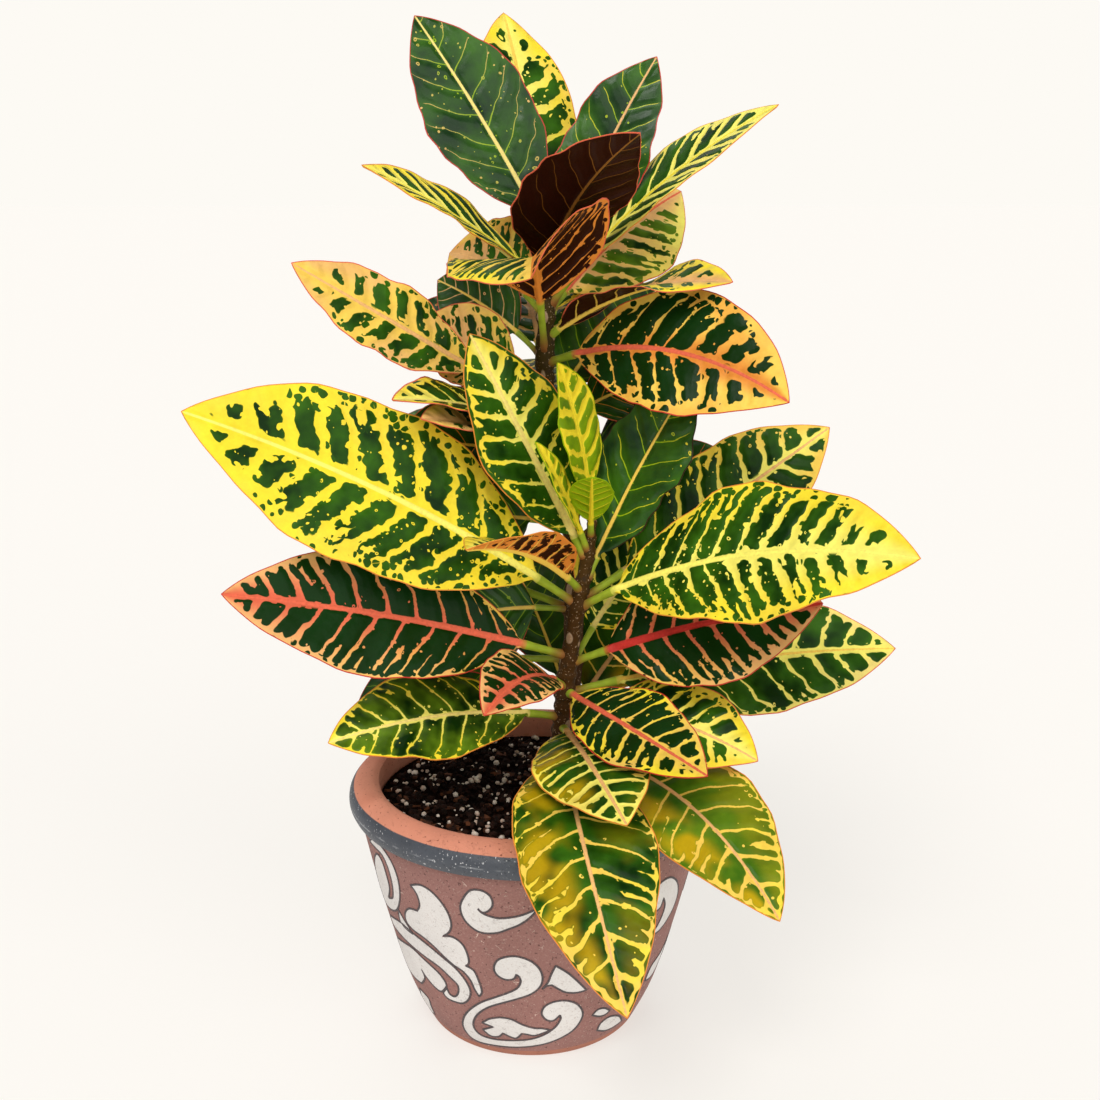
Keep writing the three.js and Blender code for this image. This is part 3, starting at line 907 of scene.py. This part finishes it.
def filled_shape(loop, turn, lift):
    """A bmesh of the painted shape inside this loop."""
    grid = bmesh.new()
    verts = [grid.verts.new((*spot, 0)) for spot in loop]
    edges = [grid.edges.new(pair) for pair in zip(verts, verts[1:] + verts[:1])]
    bmesh.ops.triangle_fill(grid, edges=edges, use_beauty=True)
    for axis in (0, 1):
        normal = [0, 0, 0]
        normal[axis] = 1
        spots = [spot[axis] for spot in loop]
        for k in range(math.ceil(min(spots) / 3), math.floor(max(spots) / 3) + 1):
            cut = [3 * k if i == axis else 0 for i in range(3)]
            parts = grid.verts[:] + grid.edges[:] + grid.faces[:]
            bmesh.ops.bisect_plane(grid, geom=parts, dist=1e-4, plane_co=cut, plane_no=normal)
    return lay_on_wall(grid, turn, lift)


def drawn_line(loop, turn, lift, width):
    """A bmesh of a line along this loop."""
    grid = bmesh.new()
    bmesh.ops.create_grid(grid, x_segments=1, y_segments=len(loop), size=0.5)
    for vert in grid.verts:
        row = round((vert.co.y + 0.5) * len(loop))
        before, spot, after = (loop[(row + d) % len(loop)] for d in (-1, 0, 1))
        wider = wall_radius(spot.y) / FLAT
        side = Vector((after.y - before.y, (before.x - after.x) * wider)).normalized()
        push = side * width * vert.co.x
        vert.co = (spot.x + push.x / wider, spot.y + push.y, 0)
    bmesh.ops.remove_doubles(grid, verts=grid.verts, dist=1e-5)
    return lay_on_wall(grid, turn, lift)


def join_shells(shells):
    """One bmesh of many, which are freed."""
    whole = bmesh.new()
    for shell in shells:
        carried = bpy.data.meshes.new("carried")
        shell.to_mesh(carried)
        shell.free()
        whole.from_mesh(carried)
        bpy.data.meshes.remove(carried)
    return whole


class CROTON_OT_scrolls(bpy.types.Operator):
    """Paint the scrolls on the pot and draw their dark outlines"""

    bl_idname = "croton.scrolls"
    bl_label = "Painted scrolls"

    def execute(self, context):
        settings = context.scene.croton.pot
        paint = settings.paint / MM
        loops = [
            (smooth_loop(outline, 4), turn)
            for motif, turns in PLACES for outline in motif.values() for turn in turns
        ]
        fills = [filled_shape(loop, turn, paint) for loop, turn in loops]
        lines = [drawn_line(loop, turn, 2 * paint, settings.outline / MM) for loop, turn in loops]
        white = paint_material("scroll_paint", settings.scroll_colour, shade(190, 172, 164))
        dark = paint_material("outline_paint", settings.outline_colour, settings.body_colour)
        for name, shells, material in (("scrolls", fills, white), ("scroll_outlines", lines, dark)):
            grid = join_shells(shells)
            shade_smooth(grid, 50)
            finish_piece(grid, name, material, "clay")
        return {"FINISHED"}


# ---- Soil ----
def soil_height(x, y):
    """Height of the soil's surface, all in millimetres."""
    radius = math.hypot(x, y)
    mound = 1.6 * math.sin(x * 0.21 + y * 0.05) * math.cos(y * 0.17 - x * 0.09)
    clods = 1.6 * fields.noise(Vector((x * 0.12, y * 0.12, 2.0)))
    clods += 1.1 * fields.noise(Vector((x * 0.4, y * 0.4, 5.0)))
    return SOIL_TOP + (mound + clods) * smooth(84, 76, radius) - SOIL_SINK * smooth(70, 83, radius)


def soil_material(settings):
    """Peat: near black, with brown crumbs."""
    material, w, place = new_material("peat")
    shadow = w.cells(place, 380, "3D")[0].ramp(0.7, 0.15)
    tone = w.tint(settings.peat, (w.noise(place, 240, 3).ramp(0.45, 0.7), shade(44, 20, 10)))
    return finish_material(
        material, w, w.brighten(tone, shadow * 0.7 + 0.4), w.noise(place, 500) * 0.25 + 0.75,
        shadow * 0.8 + w.noise(place, 900, 3), 0.0012, gloss=0.05,
    )


def grain_material(name, tone, other, scale, rough):
    """Loose grains that differ from one another."""
    material, w, place = new_material(name)
    fleck = w.noise(place, scale * 4, 2)
    base = w.tint(tone, (w.noise(place, scale, 2).ramp(0.38, 0.62), other))
    base = w.brighten(base, fleck * 0.6 + 0.7)
    return finish_material(material, w, base, fleck * 0.2 + rough, fleck, 0.0004, gloss=0.2)


def scatter(count, seed, low, high, squash, cube=False, sink=0.35):
    """Closed little solids on the soil. low and high are radii in millimetres."""
    dice = random.Random(seed)
    stems = [(13, 1, 7), (18, 32, 7.5)]  # (x, y, radius to keep clear)
    edge = 82
    grid = bmesh.new()
    placed = 0
    while placed < count:
        reach = (edge - 1) * math.sqrt(dice.random())
        angle = dice.uniform(-math.pi, math.pi)
        x, y = reach * math.cos(angle), reach * math.sin(angle)
        size = mix(low, high, dice.random() ** 2)
        if reach + size > edge or any(math.hypot(x - a, y - b) < clear for a, b, clear in stems):
            continue
        turn = Matrix.Rotation(dice.uniform(0, 6.28), 4, "Z")
        tilt = Matrix.Rotation(dice.uniform(-0.6, 0.6), 4, "X")
        form = (dice.uniform(0.8, 1.2), dice.uniform(0.6, 1.0), squash * dice.uniform(0.8, 1.2), 1)
        height = soil_height(x, y) + size * squash * (1 - 2 * sink)
        spot = Matrix.Translation(Vector((x, y, height)) * MM)
        matrix = spot @ turn @ tilt @ Matrix.Diagonal(form) @ Matrix.Scale(size * MM, 4)
        if cube:
            bmesh.ops.create_cube(grid, size=2.0, matrix=matrix)
        else:
            bmesh.ops.create_icosphere(grid, subdivisions=1, radius=1.0, matrix=matrix)
        placed += 1
    return grid


class CROTON_OT_soil(bpy.types.Operator):
    """Fill the pot with soil, and lay crumbs, perlite and bark chips on it"""

    bl_idname = "croton.soil"
    bl_label = "Soil"

    def execute(self, context):
        settings = context.scene.croton.soil
        wall = [(radius - SOIL_GAP, height) for radius, height in reversed(POT_INSIDE[1:-1])]
        base = POT_FLOOR[0][1] + SOIL_GAP
        outline = [(0, base), (POT_INSIDE[-1][0] - SOIL_GAP, base), *wall, (83.4, SOIL_TOP - SOIL_SINK)]
        for ring in range(SOIL_RINGS + 1):
            outline.append((SOIL_REACH - SOIL_REACH * ring / SOIL_RINGS, SOIL_TOP))
        grid = spun(outline, 150)
        for vert in grid.verts:
            if vert.co.z > (SOIL_TOP - 0.5) * MM:
                vert.co.z = soil_height(vert.co.x / MM, vert.co.y / MM) * MM
        shade_smooth(grid)
        finish_piece(grid, "soil_bed", soil_material(settings), "soil", ["soil"])
        crumbs = scatter(settings.crumbs, 11, 0.8, 2.8, 0.8)
        grains = scatter(settings.grains, 12, 0.8, 2.3, 0.8, sink=0.2)
        shade_smooth(grains)
        chips = scatter(settings.chips, 13, 1.4, 3.4, 0.28, cube=True)
        for grid, name, finish, tone, other, scale, rough in (
            (crumbs, "soil_crumbs", "peat_crumbs", settings.peat, (42, 19, 10), 300, 0.8),
            (grains, "perlite_grains", "perlite", settings.perlite, (196, 168, 150), 260, 0.7),
            (chips, "bark_chips", "bark_chips", settings.chip_colour, (40, 20, 12), 200, 0.75),
        ):
            material = grain_material(finish, tone, shade(*other), scale, rough)
            finish_piece(grid, name, material, "soil")
        return {"FINISHED"}


# ---- Stems ----
def stem_at(stem, height):
    """(x, y, height, radius) on a stem's axis, in millimetres."""
    return row_at(STEMS[stem], 2, height)


def bark_material(settings):
    """Olive-brown bark, greener near the top, with pale leaf scars and fine cracks."""
    material, w, place = new_material("bark")
    young = (w.parts(place)[2] + w.noise(place, 70) * 0.05).ramp(0.2, 0.42)
    flat = w.node("Mapping", {0: place, 3: (1.0, 1.0, 0.7)})[0]
    away, pick = w.cells(flat, 130, "3D")
    chosen = w.math("GREATER_THAN", pick[0], 0.45)
    scar = away.ramp(0.34, 0.26) * chosen
    tone = w.tint(
        settings.bark, (young, settings.green),
        (w.noise(place, 260, 3).ramp(0.5, 0.72), shade(58, 42, 24)),
        (scar * 0.75, settings.scar), (away.ramp(0.24, 0.16) * chosen * 0.45, shade(140, 104, 78)),
        (w.noise(place, 900).ramp(0.66, 0.7) * 0.6, settings.scar),
    )
    return finish_material(
        material, w, tone, w.noise(place, 400) * 0.3 + 0.5, scar * 0.5 + w.noise(place, 500, 3),
        0.0006, gloss=0.15,
    )


class CROTON_OT_stems(bpy.types.Operator):
    """Make the two stems, thicker where a leaf leaves them"""

    bl_idname = "croton.stems"
    bl_label = "Stems"

    def execute(self, context):
        settings = context.scene.croton.stem
        material = bark_material(settings)
        swell = settings.node_height / MM
        for stem, points in STEMS.items():
            low, high = points[0][2], points[-1][2]
            rows = round((high - low) / STEM_STEP)
            nodes = [row[0] for row in LEAVES[stem]]
            grid, places = wrapped_grid(STEM_SIDES, rows)
            for vert, (column, row) in places.items():
                height = mix(low, high, row / rows)
                near = [stem_at(stem, min(high, max(low, height + d))) for d in (-9, -4.5, 0, 4.5, 9)]
                x, y = (sum(p[k] for p in near) / 5 for k in (0, 1))
                radius = near[2][3]
                for node in nodes:
                    radius += swell * math.exp(-(((height - node + 1.5) / 1.7) ** 2))
                angle = column * 2 * math.pi / STEM_SIDES
                side = Vector((math.cos(angle), math.sin(angle), 0))
                radius += 0.35 * fields.noise(side + Vector((0, 0, height * 0.12)))
                radius *= 1 - 0.5 * smooth(high - 4, high, height)
                vert.co = (Vector((x, y, height)) + side * radius) * MM
            close_tube(grid)
            shade_smooth(grid, 60)
            finish_piece(grid, f"bark_{stem}", material, "bark", [f"stem_{stem}"])
        return {"FINISHED"}


# ---- Leaves ----
def read_looks(text):
    """For each look, {input of the blade group: number or name of a colour}."""
    rows = [line.rsplit(None, len(LOOK_NAMES)) for line in text.strip().splitlines()]
    return [{row[0].strip(): read_word(row[look + 1]) for row in rows} for look in range(len(LOOK_NAMES))]


def read_own(text):
    """{leaf: {input of the blade group: number or name of a colour}}"""
    own = {}
    for line in text.strip().splitlines():
        name, entries = line.split(":")
        pairs = [entry.rsplit(None, 1) for entry in entries.split(",")]
        own.setdefault(name.strip(), {}).update((key.strip(), read_word(word)) for key, word in pairs)
    return own


# Finishes of the blades: the inputs of the blade group, with a column for each look. A word names a
# colour.
LOOK_NAMES = ("yellow", "veined", "deep", "orange", "flame", "lime", "olive", "wine")
LOOKS = dict(zip(LOOK_NAMES, read_looks("""
    Veins        9.5    9.5    8.5    9.5    9.5    9      9      9
    Lean         0.42   0.42   0.65   0.42   0.42   0.42   0.42   0.6
    Wander       0.5    0.5    0.5    0.5    0.35   0.5    0.35   0.5
    Gap          0.27   0.18   0      0.3    0.18   0.36   0.13   0
    Inner        2.2    1.6    0.3    2.2    1.6    1.8    0.8    0.4
    Outer        5      2.6    0.2    4      2.2    1.2    2.2    0.3
    Fork         0.75   0.85   1.5    0.75   0.62   1.5    0.62   1.5
    Cover foot   0.6    0.5    1.5    0.6    0.8    0.1    0.9    1
    Cover point  -1     -0.3   1.5    -0.7   -0.3   -0.1   0.1    1
    Uneven       1.2    0.9    0.3    1.2    0.7    0.6    0.6    0.3
    Ragged       1      0.6    0.3    0.8    0.45   0.5    0.4    0.4
    Dots         0.8    0.6    0.3    0.5    0.3    0.1    0.25   0.4
    Specks       0.85   0.7    0      0.8    0.7    0.2    0.8    0.2
    Band         0      0      0      0      0      0      1.4    0
    Glow         0      0      0      0      0      0      0.6    0
    Vein width   0.7    0.7    0.45   0.8    1.2    0.5    1      0.4
    Vein reach   0.8    0.8    1.2    0.8    0.95   0.8    0.6    0.8
    Rib width    3.4    2.6    1.9    2.4    3      2.4    2.6    2
    Margin width 0.5    0.5    0.5    0.5    0.5    0.5    0.5    0.5
    Flush        0.25   0.3    0      0.75   0.6    0      0.6    0
    Dark         pine   pine   spruce pine   pine   moss   pine   spruce
    Light        fern   fern   fern   fern   spruce lime   fern   fern
    Field foot   yellow yellow moss   gold   gold   yellow gold   orange
    Field point  yellow yellow moss   gold   peach  yellow gold   coral
    Flush colour gold   gold   gold   peach  peach  gold   yellow gold
    Glow colour  amber  amber  amber  amber  amber  amber  amber  amber
    Rib          lemon  cream  gold   peach  coral  yellow peach  gold
    Vein         lemon  lemon  lime   peach  coral  yellow gold   orange
    Margin       orange orange red    coral  red    lime   orange coral
    Under field  pale   pale   wine   orange orange lime   pale   wine
    Under dark   moss   moss   wine   wine   wine   lime   moss   wine
    Under vein   cream  cream  rust   gold   coral  yellow cream  rust
""")))
# What sets single leaves apart from their look.
OWN = read_own("""
    rear_01: Field foot peach, Field point peach, Dots 1, Rib cream, Rib width 2.2, Veins 8
    rear_02: Veins 8, Outer 4.5, Cover point -1.2, Flush 0.7, Rib gold
    rear_03: Rib peach, Field foot yellow, Field point yellow
    rear_04: Vein width 0.3
    rear_05: Lean 0.7, Veins 10, Gap 0.3, Outer 2, Cover point -0.3, Rib yellow, Field foot lemon
    rear_05: Field point lemon, Rib width 2.6, Ragged 0.35, Dots 0.2, Specks 0.3
    rear_06: Lean 0.8, Veins 10, Gap 0.32, Outer 1.4, Margin width 1, Rib yellow, Cover point -0.8
    rear_06: Ragged 0.35, Dots 0.1, Specks 0.2
    rear_07: Veins 11, Gap 0.26, Inner 2.6, Outer 2.6, Cover foot 0.9, Cover point 0, Lean 0.5, Ragged 0.5
    rear_07: Under vein orange, Fork 0.6, Field foot yellow, Field point yellow, Flush colour gold
    rear_07: Vein gold, Rib gold, Dots 0.3
    rear_08: Field foot gold, Field point lemon, Flush 0.35, Rib width 2.4, Rib coral, Vein peach
    rear_08: Light moss, Veins 10.5, Ragged 0.6
    rear_09: Flush colour orange
    rear_10: Field point yellow, Flush colour yellow, Under field wine
    rear_11: Rib coral, Rib width 3, Vein orange, Vein reach 0.5, Gap 0.22, Light spruce, Outer 5
    rear_11: Flush 0.5, Flush colour orange, Cover foot 1.2, Margin red
    rear_12: Gap 0.4, Outer 3.5, Vein gold
    rear_13: Vein orange, Field foot orange, Field point orange
    rear_14: Vein peach, Field foot peach, Field point peach
    rear_15: Margin coral, Margin width 1
    front_01: Gap 0.4
    front_04: Gap 0.24, Inner 2.6, Outer 4, Band 2.4, Rib width 4, Vein width 0.9, Cover foot 0.8
    front_05: Margin wine, Field foot yellow, Field point yellow
    front_06: Under field orange, Under dark wine, Under vein gold, Veins 12
    front_07: Veins 9, Outer 6.5, Inner 3, Vein yellow
    front_08: Veins 12, Gap 0.32, Outer 4, Cover foot 1.2, Cover point -1, Ragged 0.8
    front_09: Gap 0.16, Outer 1.6, Vein width 1, Dots 0.4, Rib peach, Field point gold
    front_10: Rib width 3.6, Vein reach 1.1, Vein width 1.5, Cover foot 1.2
    front_11: Rib red, Rib width 4.2, Field point peach, Vein reach 1.1, Vein width 1.8
    front_14: Rib coral, Field foot yellow, Field point yellow, Vein gold
    front_15: Ragged 0.4, Dots 0.2, Field foot lemon, Field point cream, Flush colour lemon, Gap 0.16
    front_15: Outer 2.2, Cover foot 0.9, Cover point 0, Uneven 0.6, Fork 1, Vein lemon, Rib gold
    front_15: Rib width 2
    front_16: Field foot yellow, Field point yellow, Flush 0.4, Flush colour gold, Vein lemon, Gap 0.22
    front_16: Veins 11, Ragged 0.5, Dots 0.2
    front_17: Gap 0.12, Outer 1.4, Cover foot 0.9, Cover point 0.2, Light moss, Uneven 0.5, Vein width 0.9
    front_18: Gap 0.2, Veins 12, Inner 1.2, Outer 1.6, Glow 0.7, Glow colour amber, Rib peach
    front_18: Rib width 3.2, Field point lemon, Dots 0.1, Ragged 0.35
    front_19: Dark fern, Light moss, Glow 0.85, Vein width 1.2
    front_20: Light fern, Glow 0.8, Cover foot 1, Vein width 1.2
""")
# Gloss of the looks that differ from the rest.
GLOSS = {"deep": 0.34, "wine": 0.1}
# Leaves with a half that shows its lower side's colours on top, and which: -1 left, 1 right.
CURLED = {"rear_07": -1}
# Waves in a blade's outline: (share of the width, waves along a side), and the leaves with more.
PLAIN_WAVES = (0.022, 2.7)
WAVY = {
    "front_05": (0.09, 2.4), "rear_04": (0.06, 2.1), "rear_01": (0.04, 2.6), "rear_03": (0.06, 2.2),
    "front_07": (0.03, 2.3), "front_08": (0.04, 2.6), "rear_09": (0.05, 2.4), "rear_12": (0.05, 3.1),
}


def midrib(leaf):
    """The stalk's share of the way, the length from end to end in millimetres, and a function that
    gives (centre, right, up) at a share t of the way from the stem to the point."""
    x, y, _, radius = stem_at(leaf["stem"], leaf["up"])
    tip = Vector((leaf["x"], leaf["y"], leaf["z"]))
    heading = Vector((leaf["x"] - x, leaf["y"] - y, 0)).normalized()
    root = Vector((x, y, leaf["up"])) + heading * radius / 2
    across = Vector((heading.y, -heading.x, 0))
    chord = tip - root
    lift = across.cross(chord).normalized()
    middle = (root + tip) / 2 + lift * 2 * leaf["arch"] + across * 2 * leaf["bow"]
    start = leaf["stalk"] / chord.length

    def frame_at(t):
        centre = root * (1 - t) ** 2 + middle * 2 * t * (1 - t) + tip * t**2
        along = ((middle - root) * (1 - t) + (tip - middle) * t).normalized()
        up = across.cross(along).normalized()
        blade = max(0.0, (t - start) / (1 - start))
        angle = math.radians(leaf["roll"] + leaf["twist"] * blade) * min(1.0, t / start)
        turn = Matrix.Rotation(angle, 3, along)
        return centre, turn @ along.cross(up), turn @ up

    return start, chord.length, frame_at


def half_width(leaf, v, side=0):
    """Half the blade's width at v, from 0 at its foot to 1 at its point. A side of -1 or 1 adds the
    small waves of that margin's outline."""
    share, waves = WAVY.get(leaf["name"], PLAIN_WAVES)
    wave = math.sin(2 * math.pi * waves * v + 1.9 * leaf["number"] + 2.2 * side)
    ripple = 0.4 * math.sin(2 * math.pi * 7.3 * v + leaf["number"] - side)
    plain = leaf["wide"] / 2 * max(0.0, 4 * v * (1 - v)) ** 0.9
    return plain * (1 + abs(side) * share * (wave + ripple) * smooth(0, 0.2, v) * smooth(1, 0.85, v))


def rise(leaf, u, v, waves):
    """Height of the upper face over the midrib, at u from -1 to 1 across."""
    folded = half_width(leaf, v) * math.tan(math.radians(leaf["fold"])) * (abs(u) - 0.35 * u * u)
    phase = leaf["number"] + (2 if u > 0 else 0)
    wave = math.sin(2 * math.pi * WAVES * v + phase) + 0.3 * math.sin(2 * math.pi * 6.1 * v + 2.3 * phase)
    return folded + waves * leaf["ripple"] * u * u * math.sin(math.pi * v) * wave


# Columns of vertices from the midrib to the margin: three on the rib and the rest on the blade.
RIB_COLUMNS = (0.0, 0.55, 1.0)
BLADE_COLUMNS = (0.06, 0.22, 0.42, 0.62, 0.82, 1.0)
HALF_COLUMNS = len(RIB_COLUMNS) + len(BLADE_COLUMNS) - 1
STALK_ROWS = 8


def leaf_shell(leaf, settings):
    """A bmesh of a whole leaf: round in the stalk, flat in the blade, with a tapering rib."""
    start, reach, frame_at = midrib(leaf)
    stalk_radius = STALK_RADIUS * min(1.0, math.sqrt(reach / FULL_GROWN))
    thickness = settings.thickness / MM
    top = 2 * HALF_COLUMNS + 1
    grid, places = wrapped_grid(2 * top, STALK_ROWS + settings.rings)
    # t runs from 0 at the stem to 1 at the point, and v from 0 at the blade's foot to 1 at the point.
    columns = {}
    for vert, (column, row) in places.items():
        column %= 2 * top
        if row <= STALK_ROWS:
            v = 0.0
            t = start * row / STALK_ROWS
        else:
            i = (row - STALK_ROWS) / settings.rings
            v = mix(i, (1 - math.cos(math.pi * i)) / 2, 0.5)
            t = mix(start, 1.0, v)
        is_top = column < top
        place = column - HALF_COLUMNS if is_top else HALF_COLUMNS - (column - top)
        k = abs(place)
        side = 1 if place > 0 else -1
        rib = stalk_radius if row <= STALK_ROWS else mix(stalk_radius, RIB_POINT, v**0.7)
        rib *= 1 + sum(
            share * math.exp(-(((t - end) * reach / SWELL_REACH) ** 2))
            for share, end in ((STEM_SWELL, 0), (BLADE_SWELL, start))
        )
        half = max(rib, half_width(leaf, v, side if k else 0))
        rounded = rib * math.sin(math.pi / 2 * k / HALF_COLUMNS)
        if k < len(RIB_COLUMNS):
            spread = rib * RIB_COLUMNS[k]
        else:
            spread = mix(rib, half, BLADE_COLUMNS[k - len(RIB_COLUMNS)])
        flat = smooth(0.0, 1.0, (half / rib - 1) / 3)
        x = mix(rounded, spread, flat)
        u = side * x / half
        ridge = math.sqrt(max(0.0, rib * rib - x * x))
        z = rise(leaf, u, v, settings.waves)
        if is_top:
            z += ridge * mix(1.0, 1 / 3, flat)
        else:
            z -= thickness * (1 - MARGIN_THINNING * abs(u) ** 6) * flat + ridge
        centre, right, up = frame_at(t)
        vert.co = (centre + right * side * x + up * z) * MM
        columns[vert] = (column, row, u, v if row >= STALK_ROWS else row / STALK_ROWS - 1)
    chart = grid.loops.layers.uv.new("leaf_map")
    for face in grid.faces:
        numbers = sorted({columns[vert][0] for vert in face.verts})
        lower = numbers[0] >= top and numbers != [0, 2 * top - 1]
        middle = sum(columns[vert][2] for vert in face.verts) / len(face.verts)
        lower |= middle * CURLED.get(leaf["name"], 0) > 0
        for loop in face.loops:
            _, _, u, v = columns[loop.vert]
            loop[chart].uv = ((u + 1) / 2 + (2 if lower else 0), v)
    shade_smooth(grid)
    rims = {0, top - 1, top, 2 * top - 1}
    for edge in grid.edges:
        (column, row, *_), (other, next_row, *_) = (columns[vert] for vert in edge.verts)
        if column == other and column in rims and min(row, next_row) > STALK_ROWS + 1:
            edge.smooth = False
    close_tube(grid)
    return grid


def leaf_material(leaf, colours, settings):
    """The finish of one leaf, with its own seed and sizes."""
    reach = midrib(leaf)[1]
    material, w, place = new_material("leaf_" + leaf["name"])
    wanted = {"Stalk": "stalk", "Stalk foot": "foot", **LOOKS[leaf["slot"]], **OWN.get(leaf["name"], {})}
    inputs = {
        label: getattr(colours, value) if isinstance(value, str) else value
        for label, value in wanted.items()
    }
    blade = reach - leaf["stalk"]
    made = w.group(blade_group(), {
        **inputs, "Map": w.node("UVMap", uv_map="leaf_map")[0], "Place": place,
        "Length": blade, "Width": leaf["wide"],
        "Seed": leaf["number"] * 0.37 + (5.0 if leaf["stem"] == "front" else 0.0),
        "Veins": max(7, inputs["Veins"] * math.sqrt(blade / 130)),
        "Lean": inputs["Lean"] * leaf["wide"] / 2 / blade,
    })
    return finish_material(
        material, w, made.colour, made.roughness, made.height, settings.relief,
        gloss=GLOSS.get(leaf["slot"], 0.11),
    )


class CROTON_OT_leaves(bpy.types.Operator):
    """Make the leaves, each with its stalk, waved blade and own pattern"""

    bl_idname = "croton.leaves"
    bl_label = "Leaves"

    def execute(self, context):
        croton = context.scene.croton
        for stem, rows in LEAVES.items():
            for index, row in enumerate(rows):
                leaf = dict(zip(COLUMNS, row), stem=stem, number=index + 1)
                leaf["name"] = f"{stem}_{index + 1:02d}"
                material = leaf_material(leaf, croton.colours, croton.leaf)
                grid = leaf_shell(leaf, croton.leaf)
                name = "leaf_" + leaf["name"]
                finish_piece(grid, "blade_" + leaf["name"], material, "leaf_" + leaf["slot"], [name])
        return {"FINISHED"}


# ---- Stage ----
class CROTON_OT_stage(bpy.types.Operator):
    """Lay the floor and set the light and the camera"""

    bl_idname = "croton.stage"
    bl_label = "Stage"

    def execute(self, context):
        settings = context.scene.croton.stage
        scene = context.scene
        scene.view_settings.view_transform = "Standard"
        grid = bmesh.new()
        bmesh.ops.create_grid(grid, x_segments=1, y_segments=1, size=30)
        floor = add_object(grid, "floor")
        material, w, _ = new_material("pale_floor")
        w.set(material.node_tree.nodes["Principled BSDF"], {
            "Base Color": [c * 0.42 for c in settings.floor_colour], "Roughness": 0.9,
            "Specular IOR Level": 0.0, "Emission Color": settings.floor_colour,
            "Emission Strength": settings.floor_glow,
        })
        floor.data.materials.append(material)

        world = bpy.data.worlds.new("studio")
        world.use_nodes = True
        scene.world = world
        w = Wiring(world.node_tree)
        light, seen, mirrored = (
            w.node("Background", {"Color": tone, "Strength": strength})[0]
            for tone, strength in (((1.0, 0.99, 0.975), 0.4), (settings.sky_colour, 1), ((1, 1, 1), 0.16))
        )
        rays = w.node("LightPath")
        mixed = w.node("MixShader", {0: rays["Is Glossy Ray"], 1: light, 2: mirrored})[0]
        mixed = w.node("MixShader", {0: rays["Is Camera Ray"], 1: mixed, 2: seen})[0]
        w.set(world.node_tree.nodes["World Output"], {"Surface": mixed})

        for name, strength, angle, aim in LAMPS:
            lamp = bpy.data.lights.new(name, "SUN")
            lamp.energy = strength
            lamp.angle = math.radians(angle)
            lamp.color = (1.0, 0.99, 0.97)
            held = bpy.data.objects.new(name, lamp)
            held.rotation_mode = "QUATERNION"
            held.rotation_quaternion = Vector(aim).to_track_quat("-Z", "Y")
            scene.collection.objects.link(held)

        camera = bpy.data.objects.new("camera", bpy.data.cameras.new("camera"))
        camera.data.lens, camera.data.sensor_width = LENS, SENSOR
        camera.data.clip_start = 0.05
        camera.data.clip_end = 60
        camera.location = (0, -settings.camera_distance, settings.camera_height)
        camera.rotation_euler = (math.pi / 2 - settings.pitch, 0, -settings.yaw)
        scene.collection.objects.link(camera)
        scene.camera = camera
        return {"FINISHED"}


class CROTON_PT_panel(bpy.types.Panel):
    """The steps that make the potted croton"""

    bl_idname = "CROTON_PT_panel"
    bl_label = "Potted croton"
    bl_space_type = "VIEW_3D"
    bl_region_type = "UI"
    bl_category = "Croton"

    def draw(self, context):
        croton = context.scene.croton
        for group, operators in (
            (croton.pot, (CROTON_OT_pot, CROTON_OT_scrolls)),
            (croton.soil, (CROTON_OT_soil,)),
            (croton.stem, (CROTON_OT_stems,)),
            (croton.leaf, (CROTON_OT_leaves,)),
            (croton.colours, ()),
            (croton.stage, (CROTON_OT_stage,)),
        ):
            box = self.layout.box()
            for name in group.__annotations__:
                box.prop(group, name)
            for operator in operators:
                box.operator(operator.bl_idname)


OPERATORS = (
    CROTON_OT_stage, CROTON_OT_pot, CROTON_OT_scrolls, CROTON_OT_soil, CROTON_OT_stems, CROTON_OT_leaves,
)
CLASSES = (
    CrotonLeafSettings, CrotonColours, CrotonStemSettings, CrotonPotSettings, CrotonSoilSettings,
    CrotonStageSettings, CrotonSettings, *OPERATORS, CROTON_PT_panel,
)


def register():
    for kind in CLASSES:
        bpy.utils.register_class(kind)
    bpy.types.Scene.croton = PointerProperty(type=CrotonSettings)


def unregister():
    del bpy.types.Scene.croton
    for kind in reversed(CLASSES):
        bpy.utils.unregister_class(kind)


def main():
    register()
    bpy.ops.croton.stage()
    bpy.ops.croton.pot()
    bpy.ops.croton.scrolls()
    bpy.ops.croton.soil()
    bpy.ops.croton.stems()
    bpy.ops.croton.leaves()


if __name__ == "__main__":
    main()
